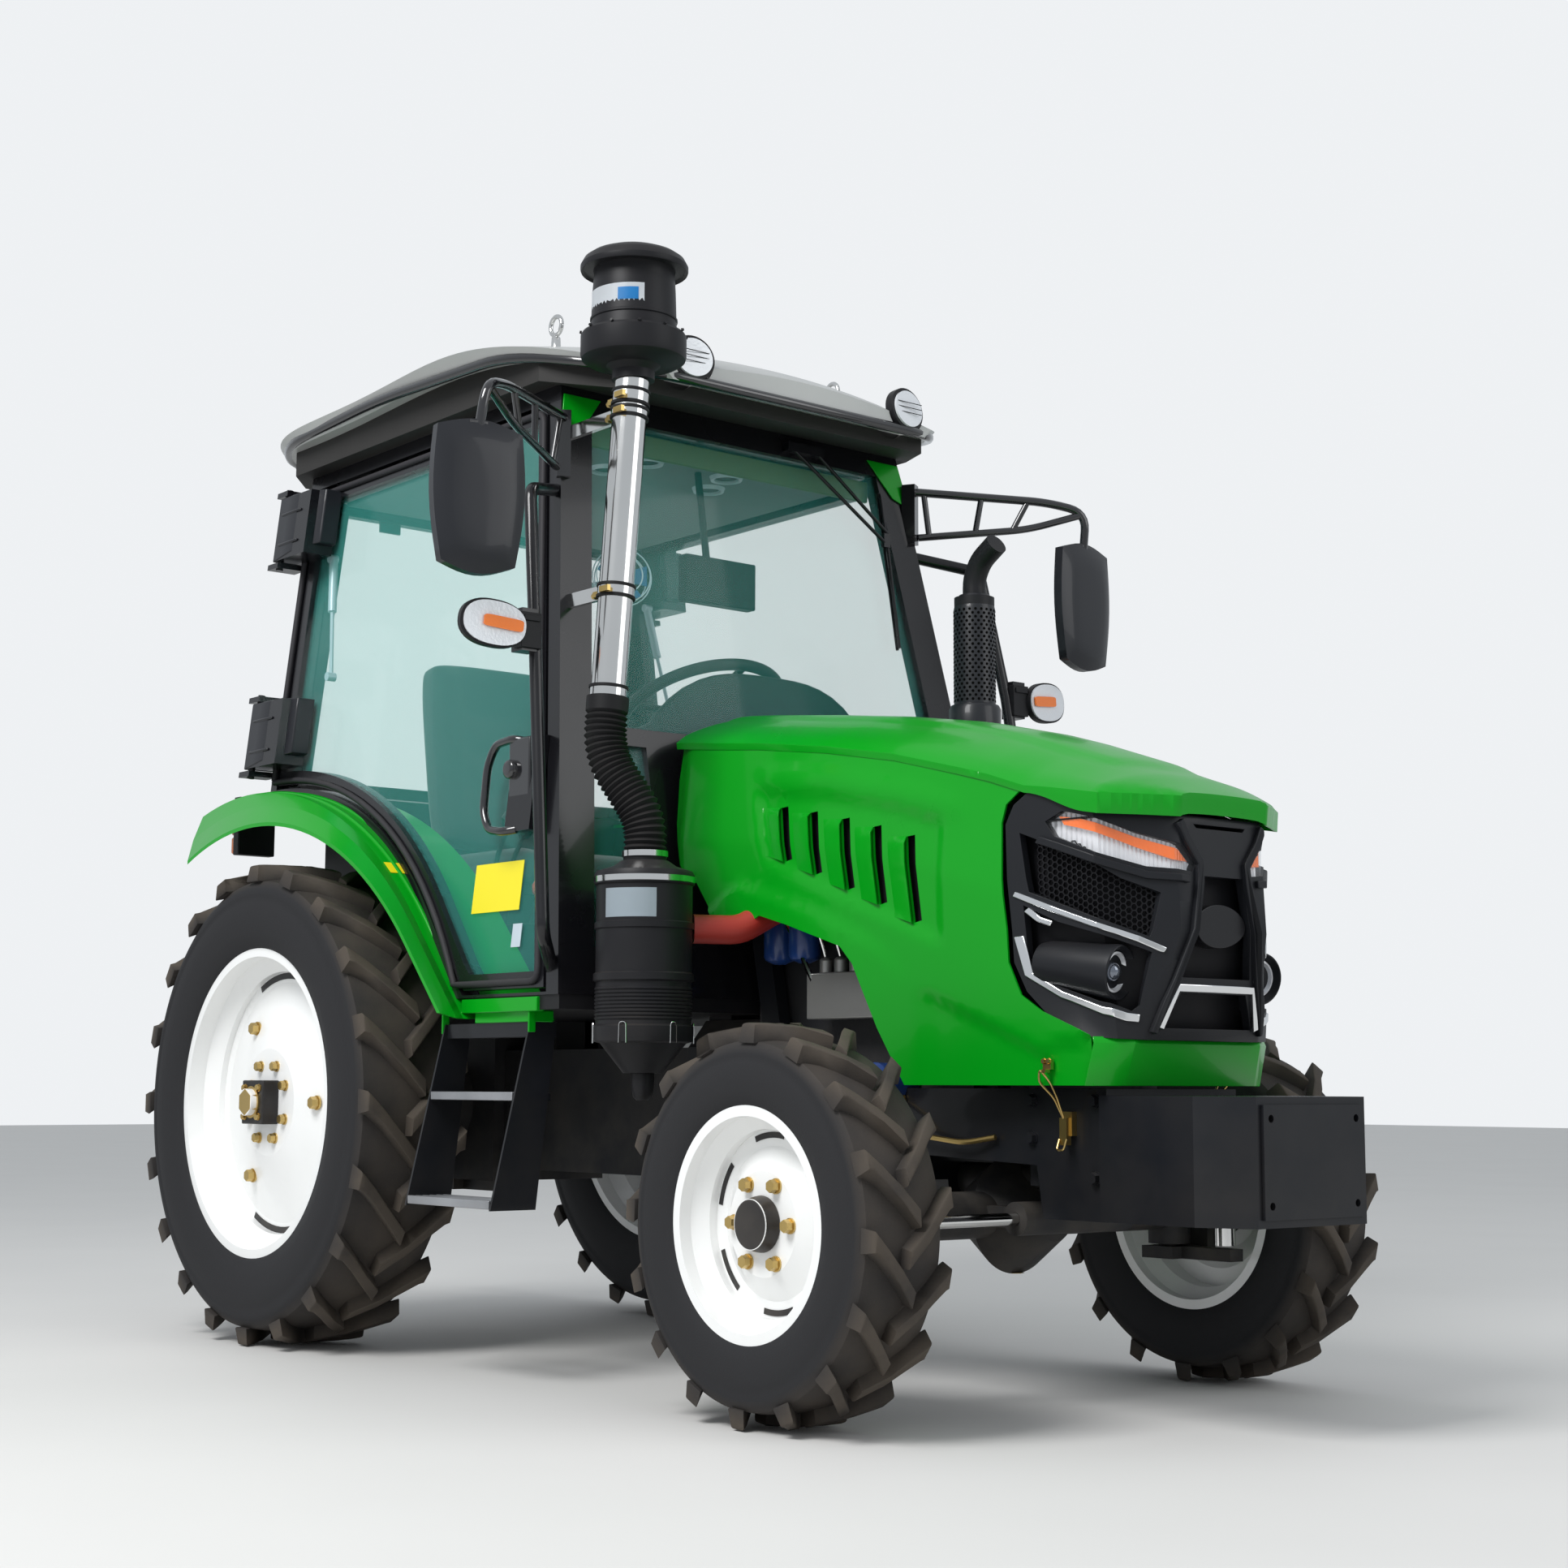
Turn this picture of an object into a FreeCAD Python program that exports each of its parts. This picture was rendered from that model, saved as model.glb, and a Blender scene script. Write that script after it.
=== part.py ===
"""Farm tractor with a closed cab, four driven wheels and a three-point hitch, in millimetres.

Everything is drawn from the rear axle: X runs forward from it, Y to the left and Z up from the
ground. Each finished piece is then placed so that the origin lies on the ground under the middle
of the whole tractor, from its front weight box to the ends of its lower links.
"""
import FreeCAD, Part
import math
import os
from types import SimpleNamespace

import Sketcher
from FreeCAD import Placement, Rotation, Vector

doc = FreeCAD.newDocument("farm_tractor")
sheet = doc.addObject("Spreadsheet::Sheet", "sizes")

# Driving sizes: name, value in millimetres or degrees, what it measures
SIZES = (
    ("wheelbase", 1851, "rear axle to front axle"),
    ("track", 1200, "between the middles of two tyres"),
    ("front_overhang", 745, "front axle to the face of the weight box"),
    ("hitch_reach", 930, "rear axle to the balls of the lower links"),
    ("rear_tyre_radius", 572, "over the lugs"),
    ("rear_tyre_width", 280, "over the side walls"),
    ("rear_lug_height", 31, "lugs over the rear tyre's crown"),
    ("rear_rim_radius", 356, "bead seat of the 28 inch rim"),
    ("rear_rim_width", 238, "over the flanges"),
    ("rear_flange", 25, "flange above the bead seat"),
    ("front_tyre_radius", 366, "over the lugs"),
    ("front_tyre_width", 200, "over the side walls"),
    ("front_lug_height", 27, "lugs over the front tyre's crown"),
    ("front_rim_radius", 203, "bead seat of the 16 inch rim"),
    ("front_rim_width", 176, "over the flanges"),
    ("front_flange", 17, "flange above the bead seat"),
    ("rim_wall", 8, "pressed steel of the rims"),
    ("kingpin_offset", 145, "middle of a front tyre to its kingpin"),
    ("rail_inner", 150, "middle line to the inside of a chassis rail"),
    ("rail_wall", 30, "thickness of a chassis rail"),
    ("rail_bottom", 470, "ground to the rails"),
    ("rail_top", 612, "ground to the top of the rails"),
    ("engine_rear", 1215, "rear axle to the clutch housing's front face"),
    ("engine_nose", 29, "front axle to the timing case"),
    ("cab_floor", 800, "ground to the underside of the cab"),
    ("cab_top", 2170, "ground to the top of the cab frame"),
    ("cab_rear", -190, "rear axle to the rear face of the cab"),
    ("cab_front_low", 1203, "rear axle to the foot of the windscreen pillar"),
    ("cab_front_high", 946, "rear axle to the top of the windscreen pillar"),
    ("cab_half_low", 661, "middle line to the cab's side at its floor"),
    ("cab_half_high", 502, "middle line to the cab's side at its top"),
    ("cab_wall", 48, "depth of the cab's pillars and doors"),
    ("door_gap", 10, "running gap round a door"),
    ("door_hinge_out", 60, "cab's side to the line of a door's hinges"),
    ("glass", 6, "thickness of the panes"),
    ("arch_x", -150, "rear axle to the centre of the door's lower arc"),
    ("arch_top", 1358, "ground to the top of the door's lower arc"),
    ("arch_radius", 1100, "radius of the door's lower arc"),
    ("fender_gap", 26, "door arc to the fender's skin"),
    ("fender_wall", 9, "thickness of the fender"),
    ("fender_offset", 145, "middle of a rear tyre to the fender's outer edge"),
    ("arch_offset", 170, "middle of a rear tyre to the inner wall of the wheel arch"),
    ("hood_wall", 12, "thickness of the bonnet's skin"),
    ("hood_hinge_x", 1170, "rear axle to the bonnet's hinge"),
    ("hood_hinge_z", 1360, "ground to the bonnet's hinge"),
    ("link_pivot_x", -190, "rear axle to the front pins of the lower links"),
    ("link_pivot_z", 420, "ground to the front pins of the lower links"),
    ("link_half", 290, "middle line to a lower link"),
    ("rockshaft_x", -250, "rear axle to the lift arms' shaft"),
    ("rockshaft_z", 700, "ground to the lift arms' shaft"),
    ("lift_arm", 300, "shaft to the lift rods' pins, the same as along the lower links"),
    ("canister_gap", 117, "foot of the windscreen pillar to the air cleaner's middle"),
    ("canister_y", -531, "middle line to the air cleaner's middle"),
    ("canister_radius", 103, "air cleaner's body"),
    ("pipe_radius", 37, "intake pipe"),
    ("exhaust_x", 1300, "rear axle to the exhaust stack"),
    ("exhaust_y", 430, "middle line to the exhaust stack"),
    ("exhaust_radius", 47, "perforated guard of the exhaust"),
    ("steer_wheel_radius", 200, "middle of the steering wheel's rim"),
    ("seat_clear", 0.3, "gap round the soft seat"),
)


class Measure(float):
    """A size that remembers the spreadsheet formula it comes from."""

    def __new__(cls, value, text):
        measure = float.__new__(cls, value)
        measure.text = text
        return measure

    def __add__(self, other):
        return Measure(float(self) + float(other), "(%s + %s)" % (self.text, formula(other)))

    def __radd__(self, other):
        return Measure(float(other) + float(self), "(%s + %s)" % (formula(other), self.text))

    def __sub__(self, other):
        return Measure(float(self) - float(other), "(%s - %s)" % (self.text, formula(other)))

    def __rsub__(self, other):
        return Measure(float(other) - float(self), "(%s - %s)" % (formula(other), self.text))

    def __mul__(self, other):
        return Measure(float(self) * float(other), "(%s * %s)" % (self.text, formula(other)))

    def __rmul__(self, other):
        return Measure(float(other) * float(self), "(%s * %s)" % (formula(other), self.text))

    def __truediv__(self, other):
        return Measure(float(self) / float(other), "(%s / %s)" % (self.text, formula(other)))

    def __neg__(self):
        return Measure(-float(self), "(0 - %s)" % self.text)


def formula(value):
    """The spreadsheet formula of a size, or the plain number."""
    return value.text if isinstance(value, Measure) else "%.6g" % value


at = SimpleNamespace()
for row, (word, amount, meaning) in enumerate(SIZES, start=1):
    sheet.set("A%d" % row, "'" + meaning)
    sheet.set("B%d" % row, str(amount))
    sheet.setAlias("B%d" % row, word)
doc.recompute()
for word, amount, meaning in SIZES:
    setattr(at, word, Measure(float(sheet.get(word)), "sizes." + word))

at.front_reach = at.wheelbase + at.front_overhang
at.nose = at.wheelbase + 417
at.canister_x = at.cab_front_low + at.canister_gap
at.engine_front = at.wheelbase + at.engine_nose
at.kingpin_half_track = at.track / 2 - at.kingpin_offset
at.arch_half = at.track / 2 - at.arch_offset
at.fender_half = at.track / 2 + at.fender_offset
at.arch_z = at.arch_top - at.arch_radius
at.to_origin = (at.hitch_reach - at.front_reach) / 2
TURNS = {"x": Rotation(Vector(0, 1, 0), 90), "y": Rotation(Vector(1, 0, 0), -90), "z": Rotation()}
NODES = []


def bind(item, path, value):
    """Tie one property of an object to a size."""
    item.setExpression(path, formula(value))


def move(item, x=0, y=0, z=0):
    """Put an object at a place given by sizes."""
    for axis, value in zip("xyz", (x, y, z)):
        bind(item, "Placement.Base." + axis, value)
    return item


def box(name, x, y, z):
    """A block between the low and high values of x, y and z."""
    item = doc.addObject("Part::Box", name)
    for prop, (low, high) in zip(("Length", "Width", "Height"), (x, y, z)):
        bind(item, prop, high - low)
    return move(item, x[0], y[0], z[0])


def rod(name, axis, start, length, radius):
    """A round bar from its start point along one axis."""
    item = doc.addObject("Part::Cylinder", name)
    item.Placement = Placement(Vector(), TURNS[axis])
    bind(item, "Radius", radius)
    bind(item, "Height", length)
    return move(item, *start)


def taper(name, axis, start, length, first, last):
    """A round bar whose radius changes from first to last."""
    item = doc.addObject("Part::Cone", name)
    item.Placement = Placement(Vector(), TURNS[axis])
    bind(item, "Radius1", first)
    bind(item, "Radius2", last)
    bind(item, "Height", length)
    return move(item, *start)


def outline(body, plane, points, offset=0):
    """A closed sketch of straight lines through points, each held by its two sizes."""
    sketch = body.newObject("Sketcher::SketchObject", body.Name + "_outline")
    base = [part for part in body.Origin.OriginFeatures if part.Role == plane][0]
    sketch.AttachmentSupport = [(base, "")]
    sketch.MapMode = "FlatFace"
    bind(sketch, "AttachmentOffset.Base.z", offset)
    count = len(points)
    for index in range(count):
        first = Vector(float(points[index][0]), float(points[index][1]), 0)
        last = points[(index + 1) % count]
        sketch.addGeometry(Part.LineSegment(first, Vector(float(last[0]), float(last[1]), 0)))
    for index in range(count):
        sketch.addConstraint(Sketcher.Constraint("Coincident", index, 2, (index + 1) % count, 1))
    for index, point in enumerate(points):
        for letter, value in zip("XY", point):
            held = Sketcher.Constraint("Distance" + letter, -1, 1, index, 1, float(value))
            number = sketch.addConstraint(held)
            sketch.renameConstraint(number, "point%d%s" % (index, letter.lower()))
            if isinstance(value, Measure):
                bind(sketch, "Constraints.point%d%s" % (index, letter.lower()), value)
    return sketch


def plate(name, plane, points, span):
    """An outline on XY, XZ or YZ, padded over its span along the third axis."""
    body = doc.addObject("PartDesign::Body", name)
    low, high = span
    start = -high if plane == "XZ" else low
    sketch = outline(body, plane + "_Plane", points, start)
    pad = body.newObject("PartDesign::Pad", name + "_pad")
    pad.Profile = sketch
    bind(pad, "Length", high - low)
    return body


def turned(name, plane, axis, points):
    """An outline turned about one axis of its own plane."""
    body = doc.addObject("PartDesign::Body", name)
    sketch = outline(body, plane + "_Plane", points)
    turn = body.newObject("PartDesign::Revolution", name + "_turn")
    turn.Profile = sketch
    turn.ReferenceAxis = (sketch, [axis])
    turn.Angle = 360
    return body


def fuse(name, *items):
    """Several pieces joined into one solid."""
    item = doc.addObject("Part::MultiFuse", name)
    item.Shapes = list(items)
    item.Refine = True
    return item


def cut(name, base, *tools):
    """One piece with others taken out of it."""
    tool = tools[0] if len(tools) == 1 else fuse(name + "_tools", *tools)
    item = doc.addObject("Part::Cut", name)
    item.Base = base
    item.Tool = tool
    return item


def common(name, first, second):
    """What two pieces share."""
    item = doc.addObject("Part::MultiCommon", name)
    item.Shapes = [first, second]
    return item


def group(name, *items):
    """Pieces that share a node without touching."""
    item = doc.addObject("Part::Compound", name)
    item.Links = list(items)
    return item


def mirror(name, source):
    """The same piece on the other side of the tractor."""
    item = doc.addObject("Part::Mirroring", name)
    item.Source = source
    item.Normal = Vector(0, 1, 0)
    return item


def shaped(name, shape):
    """A piece whose form comes from lofts or sweeps."""
    item = doc.addObject("Part::Feature", name)
    item.Shape = shape
    return item


def node(label, item):
    """A finished piece, moved so that the origin lies under the middle of the tractor."""
    item.Label = label
    bind(item, "Placement.Base.x", at.to_origin)
    NODES.append(item)
    return item


def pair(stem, item):
    """A finished right-hand piece and its mirror image on the left."""
    right = node(stem + "_right", item)
    left = mirror(stem + "_mirrored", right)
    left.Label = stem + "_left"
    NODES.append(left)
    return right, left


def wire(points):
    """A closed wire of straight lines."""
    corners = [Vector(*[float(value) for value in point]) for point in points]
    return Part.makePolygon(corners + corners[:1])


def tube_path(points, radius):
    """A round bar along straight runs joined by tangent arcs of one bend radius."""
    corners = [Vector(*[float(value) for value in point]) for point in points]
    edges = []
    last = corners[0]
    for before, corner, after in zip(corners, corners[1:], corners[2:]):
        first_way = (before - corner).normalize()
        last_way = (after - corner).normalize()
        half = first_way.getAngle(last_way) / 2
        bend = min(3 * radius, 0.45 * min((before - corner).Length, (after - corner).Length) * math.tan(half))
        reach = bend / math.tan(half)
        begin = corner + first_way * reach
        end = corner + last_way * reach
        centre = corner + (first_way + last_way).normalize() * (bend / math.sin(half))
        middle = centre + (corner - centre).normalize() * bend
        edges.append(Part.makeLine(last, begin))
        edges.append(Part.Arc(begin, middle, end).toShape())
        last = end
    edges.append(Part.makeLine(last, corners[-1]))
    path = Part.Wire(edges)
    along = (corners[1] - corners[0]).normalize()
    section = Part.Wire([Part.makeCircle(radius, corners[0], along)])
    return path.makePipeShell([section], True, True)


# Tyres: a ring of flat facets, and lugs in two rows that lean back from the middle to the shoulders
def flat_ring(profile, sides):
    """A ring of flat facets round Y. Its profile is (across, radius), and the flats touch those circles."""
    reach = 1 / math.cos(math.pi / sides)
    rings = []
    for number in range(sides + 1):
        turn = math.tau * (number % sides - 0.5) / sides
        rings.append([Vector(away * reach * math.sin(turn), across, away * reach * math.cos(turn))
                      for across, away in profile])
    faces = []
    for near, far in zip(rings, rings[1:]):
        for spot in range(len(profile)):
            faces.append(Part.Face(wire((near[spot - 1], far[spot - 1], far[spot], near[spot]))))
    return Part.makeSolid(Part.makeShell(faces))


def tyre_lug(tip, half, crown, thick, lean):
    """One lug left of the tread's middle: an outline that leans back, pushed forward by its thickness."""
    corners = []
    for across, away in ((-6, tip), (half * 0.72, tip - 4), (half - 1, tip - 46), (half - 24, crown - 60),
                         (-6, crown - 24)):
        back = lean / 2 - lean * across / half - thick / 2
        far = max(abs(back), abs(back + thick))
        corners.append((back, across, math.sqrt(away * away - far * far)))
    return Part.Face(wire(corners)).extrude(Vector(thick, 0, 0))


def lugged_tyre(radius, width, seat, rim_half, flange, lug_height, lug_count, thick, sides):
    """A tyre that stands on the flat between two lug tips, at its radius over the lugs."""
    step = 360 / lug_count
    tip = radius / math.cos(math.radians(step / 4))
    half, crown, bead = width / 2, radius - lug_height, rim_half - at.rim_wall
    side = [(-bead, seat), (-bead, seat + flange + 1), (-half, (seat + radius) / 2 + 4),
            (22 - half, crown - 6)]
    side = [(float(across), float(away)) for across, away in side]
    carcass = flat_ring(side + [(-across, away) for across, away in reversed(side)], sides)
    lean = half * 0.93
    left_lug = tyre_lug(tip, half, crown, thick, lean)
    right_lug = left_lug.mirror(Vector(), Vector(0, 1, 0))
    tip_turn = math.degrees(math.asin((lean / 2 + 6 * lean / half + thick / 2) / tip))
    lugs = []
    for number in range(lug_count):
        for lug, share in ((left_lug, 0), (right_lug, 0.5)):
            placed = lug.copy()
            placed.rotate(Vector(), Vector(0, 1, 0), (number + share + 0.25) * step - tip_turn)
            lugs.append(placed)
    return carcass.multiFuse(lugs)


# Rims: a pressed drop-centre ring and a dished disc
def wheel_rim(stem, seat, rim_width, flange, well_drop, disc):
    half = rim_width / 2
    lip = at.rim_wall
    well = half * 0.45
    drop = seat - well_drop
    rim_points = (
        (-half, seat + flange), (-half + lip, seat + flange), (-half + lip, seat), (-well - 26, seat),
        (-well, drop), (well, drop), (well + 26, seat), (half - lip, seat), (half - lip, seat + flange),
        (half, seat + flange), (half, seat - lip), (well + 22, seat - lip), (well - 4, drop - lip),
        (-well + 4, drop - lip), (-well - 22, seat - lip), (-half, seat - lip))
    rim = turned(stem + "_rim_turned", "YZ", "H_Axis", rim_points)
    dish = turned(stem + "_dish", "YZ", "H_Axis", disc(drop))
    return fuse(stem + "_rim", rim, dish)


def rear_disc(drop):
    """The rear disc bulges outwards round the clamp of the axle shaft."""
    return ((-78, 0), (-78, 128), (-34, 288), (-34, drop - 4), (-22, drop - 4), (-22, 284), (-66, 122),
            (-66, 0))


def front_disc(drop):
    """The front disc is a shallow dish close to the outer flange."""
    return ((-46, 0), (-46, 96), (-18, 140), (-18, drop - 4), (-8, drop - 4), (-8, 134), (-36, 90), (-36, 0))


rear_rim_bare = wheel_rim("rear", at.rear_rim_radius, at.rear_rim_width, at.rear_flange, 34, rear_disc)
clamp = box("axle_clamp", (-48, 48), (-118, -78), (-48, 48))
clamp_shaft = rod("axle_shaft_end", "y", (0, -140, 0), 140 + 173.7, 32)
rear_rim = fuse("rear_wheel_disc", rear_rim_bare, clamp, clamp_shaft)
front_rim_bare = wheel_rim("front", at.front_rim_radius, at.front_rim_width, at.front_flange, 24, front_disc)
front_cap = rod("front_hub_cap", "y", (0, -76, 0), 30, 46)
front_rim = fuse("front_wheel_disc", front_rim_bare, front_cap)
rear_tyre = shaped("rear_tyre_lugged", lugged_tyre(
    float(at.rear_tyre_radius), float(at.rear_tyre_width), float(at.rear_rim_radius),
    float(at.rear_rim_width) / 2, float(at.rear_flange), float(at.rear_lug_height), 20, 32, 30))
front_tyre = shaped("front_tyre_lugged", lugged_tyre(
    float(at.front_tyre_radius), float(at.front_tyre_width), float(at.front_rim_radius),
    float(at.front_rim_width) / 2, float(at.front_flange), float(at.front_lug_height), 16, 26, 24))
for stem, tyre, rim, along, height in (("rear", rear_tyre, rear_rim, 0, at.rear_tyre_radius),
                                       ("front", front_tyre, front_rim, at.wheelbase, at.front_tyre_radius)):
    for kind, item in (("tyre", tyre), ("rim", rim)):
        move(item, along, -at.track / 2, height)
        pair(kind + "_" + stem, group(stem + "_" + kind + "_placed", item))

# Chassis rails from the engine to the front casting that carries the axle's pivot
rail_rear, nose = at.engine_rear + 85, at.nose
rail_side = ((rail_rear, at.rail_bottom + 60), (rail_rear + 270, at.rail_bottom + 20),
             (nose - 178, at.rail_bottom), (nose - 163, 372), (nose, 372), (nose, at.rail_top),
             (rail_rear, at.rail_top))
rail_right = plate("rail_right", "XZ", rail_side, (-at.rail_inner - at.rail_wall, -at.rail_inner))
rail_left = mirror("rail_left", rail_right)
front_cross = box("front_cross", (nose - 88, nose), (-at.rail_inner, at.rail_inner), (372, at.rail_top))
pivot_blocks = []
for name, start in (("rear", at.wheelbase - 175), ("front", at.wheelbase + 192)):
    post = box("pivot_post_" + name, (start, start + 45), (-at.rail_inner, at.rail_inner), (430, 540))
    bore = rod("pivot_bore_" + name, "x", (start - 10, 0, 430), 70, 34.4)
    boss = rod("pivot_boss_" + name, "x", (start, 0, 430), 45, 60)
    pivot_blocks.append(cut("pivot_block_" + name, fuse("pivot_bearing_" + name, post, boss), bore))
node("chassis_rails", fuse("rails_joined", rail_right, rail_left, front_cross, *pivot_blocks))

# Weight box on the front casting, its corners cut back and its plate held by four bolts
cut_back = at.front_reach - 106
weight_plan = ((nose, -200), (cut_back, -200), (at.front_reach - 6, -150), (at.front_reach - 6, 150),
               (cut_back, 200), (nose, 200))
weight_box = plate("weight_box", "XY", weight_plan, (374, 600))
weight_plate = box("weight_plate", (at.front_reach - 6, at.front_reach), (-138, 138), (388, 586))
bolt_holes = [rod("plate_hole_%d" % number, "x", (at.front_reach - 46, y, z), 60, 7)
              for number, (y, z) in enumerate(((-118, 412), (118, 412), (-118, 562), (118, 562)))]
node("front_weight_box", cut("weight_box_drilled", fuse("weight_box_plated", weight_box, weight_plate),
                             *bolt_holes))

# Engine block, sump, rocker cover, timing case and fan pulley
block = box("cylinder_block", (at.engine_rear, at.engine_front), (-140, 140), (540, 960))
sump = plate("sump", "YZ", ((-115, 540), (-90, 430), (90, 430), (115, 540)),
             (at.engine_rear + 60, at.engine_front - 228))
head = box("cylinder_head", (at.engine_rear + 60, at.engine_front - 50), (-110, 110), (960, 1050))
rocker = box("rocker_cover", (at.engine_rear + 90, at.engine_front - 90), (-70, 70), (1050, 1120))
timing = box("timing_case", (at.engine_front, at.engine_front + 45), (-120, 120), (560, 920))
pulley = rod("fan_pulley", "x", (at.engine_front + 45, 0, 850), 40, 95)
crank = rod("crank_pulley", "x", (at.engine_front + 45, 0, 650), 40, 80)
lugs = [box("engine_foot_%d" % number, (x, x + 90), (-at.rail_inner, at.rail_inner), (545, 600))
        for number, x in enumerate((at.engine_rear + 155, at.engine_front - 160))]
node("engine", fuse("engine_joined", block, sump, head, rocker, timing, pulley, crank, *lugs))
core_x = at.wheelbase + 159
radiator_core = box("radiator_core", (core_x, core_x + 70), (-205, 205), (at.rail_top + 28, 1060))
radiator_feet = box("radiator_feet", (core_x + 10, core_x + 60), (-178, 178), (at.rail_top, at.rail_top + 28))
node("radiator", fuse("radiator_joined", radiator_core, radiator_feet))

# Clutch housing and gearbox, then the rear axle with its trumpet housings
bell_side = ((-160, 450), (-110, 410), (110, 410), (160, 450), (160, 700), (110, 760), (-110, 760),
             (-160, 700))
bell = plate("clutch_bell", "YZ", bell_side, (at.engine_rear - 230, at.engine_rear))
gearbox = box("gearbox", (200, at.engine_rear - 230), (-135, 135), (410, 700))
node("transmission", fuse("transmission_joined", bell, gearbox))
hub = at.rear_tyre_radius
centre_case = box("centre_case", (-190, 200), (-165, 165), (380, 770))
trumpet_end = at.track / 2 - 174
trumpet = taper("trumpet", "y", (0, 165, hub), trumpet_end - 181, 105, 78)
trumpet_flange = rod("trumpet_flange", "y", (0, trumpet_end - 16, hub), 16, 112)
link_x = at.link_pivot_x
link_z = at.link_pivot_z
link_bracket = box("link_bracket", (link_x - 30, -100), (150, at.link_half - 29), (link_z - 35, link_z + 75))
link_pin = rod("link_pin", "y", (link_x, at.link_half - 30, link_z), 58, 14)
axle_left = fuse("axle_half_left", trumpet, trumpet_flange, link_bracket, link_pin)
axle_right = mirror("axle_half_right", axle_left)
shaft_x = at.rockshaft_x
shaft_boss = rod("rockshaft_boss", "y", (shaft_x, -165, at.rockshaft_z), 330, 44)
shaft_foot = box("rockshaft_foot", (shaft_x, link_x), (-165, 165), (at.rockshaft_z - 40, at.rockshaft_z + 40))
shaft_bore = rod("rockshaft_bore", "y", (shaft_x, -170, at.rockshaft_z), 340, 27)
top_ears = [box("top_ear_%d" % side, (link_x - 45, link_x), (side * 32 - 8, side * 32 + 8), (585, 650))
            for side in (-1, 1)]
ear_hole = rod("top_ear_hole", "y", (link_x - 25, -45, 615), 90, 9.7)
rear_case = fuse("rear_axle_joined", centre_case, axle_left, axle_right, shaft_boss, shaft_foot, *top_ears)
node("rear_axle_housing", cut("rear_axle_bored", rear_case, shaft_bore, ear_hole))
pto_guard = box("pto_guard", (link_x - 95, link_x), (-75, 75), (570, 578))
pto_shaft = rod("pto_shaft", "x", (link_x - 85, 0, 500), 85, 17.5)
drawbar = box("drawbar_tongue", (link_x - 260, 100), (-30, 30), (345, 370))
drawbar_hole = rod("drawbar_hole", "z", (link_x - 225, 0, 340), 40, 13)
drawbar_hanger = box("drawbar_hanger", (link_x, link_x + 40), (-60, 60), (345, 380))
node("drawbar", cut("drawbar_drilled", fuse("drawbar_joined", drawbar, drawbar_hanger), drawbar_hole))
node("pto", group("pto_pieces", pto_shaft, pto_guard))

# Front axle: a beam with a round differential bowl, on a pivot that runs fore and aft
front_hub = at.front_tyre_radius
bowl = taper("axle_bowl_front", "x", (at.wheelbase - 100, 0, front_hub), 100, 60, 118)
bowl_rear = taper("axle_bowl_rear", "x", (at.wheelbase, 0, front_hub), 110, 118, 50)
beam = rod("axle_beam", "y", (at.wheelbase, -at.kingpin_half_track + 30, front_hub),
           2 * at.kingpin_half_track - 60, 46)
pivot_shaft = rod("axle_pivot", "x", (at.wheelbase - 190, 0, 430), 430, 34)
kingpin_case = rod("kingpin_case", "z", (at.wheelbase, at.kingpin_half_track, front_hub - 75), 150, 44)
kingpin_bore = rod("kingpin_bore", "z", (at.wheelbase, at.kingpin_half_track, front_hub - 80), 160, 20.4)
case_left = kingpin_case
case_right = mirror("kingpin_case_right", kingpin_case)
bore_right = mirror("kingpin_bore_right", kingpin_bore)
ram = rod("steering_ram", "y", (at.wheelbase + 150, -150, front_hub), 300, 32)
ram_foot = box("ram_foot", (at.wheelbase + 40, at.wheelbase + 150), (-120, 120),
               (front_hub - 20, front_hub + 20))
ram_bore = rod("ram_bore", "y", (at.wheelbase + 150, -160, front_hub), 320, 12.4)
axle_solid = fuse("front_axle_joined", bowl, bowl_rear, beam, pivot_shaft, case_left, case_right, ram,
                  ram_foot)
node("front_axle", cut("front_axle_bored", axle_solid, kingpin_bore, bore_right, ram_bore))

# Steering: a knuckle on each kingpin and one long rod through the ram
pin_x = at.wheelbase
pin_y = -at.kingpin_half_track
knuckle_pin = rod("knuckle_pin", "z", (pin_x, pin_y, front_hub - 105), 210, 20)
knuckle_top = box("knuckle_top", (pin_x - 42, pin_x + 42), (pin_y - 75, pin_y + 40),
                  (front_hub + 80, front_hub + 105))
knuckle_low = box("knuckle_low", (pin_x - 42, pin_x + 42), (pin_y - 75, pin_y + 40),
                  (front_hub - 105, front_hub - 80))
knuckle_back = box("knuckle_back", (pin_x - 60, pin_x + 60), (pin_y - 75, pin_y - 50),
                   (front_hub - 105, front_hub + 105))
knuckle_hub = rod("knuckle_hub", "y", (pin_x, -at.track / 2 - 35.7, front_hub), 115.7, 62)
steering_arm = box("steering_arm", (pin_x + 30, pin_x + 172), (pin_y - 30, pin_y + 10),
                   (front_hub - 105, front_hub - 80))
pair("knuckle", fuse("knuckle_joined", knuckle_pin, knuckle_top, knuckle_low, knuckle_back, knuckle_hub,
                     steering_arm))
steering_rod = rod("steering_rod_bar", "y", (pin_x + 150, -at.kingpin_half_track, front_hub),
                   2 * at.kingpin_half_track, 12)
eye = rod("rod_eye", "z", (pin_x + 150, at.kingpin_half_track, front_hub - 73), 100, 22)
eye_right = mirror("rod_eye_right", eye)
node("steering_rod", fuse("steering_rod_joined", steering_rod, eye, eye_right))

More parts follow.
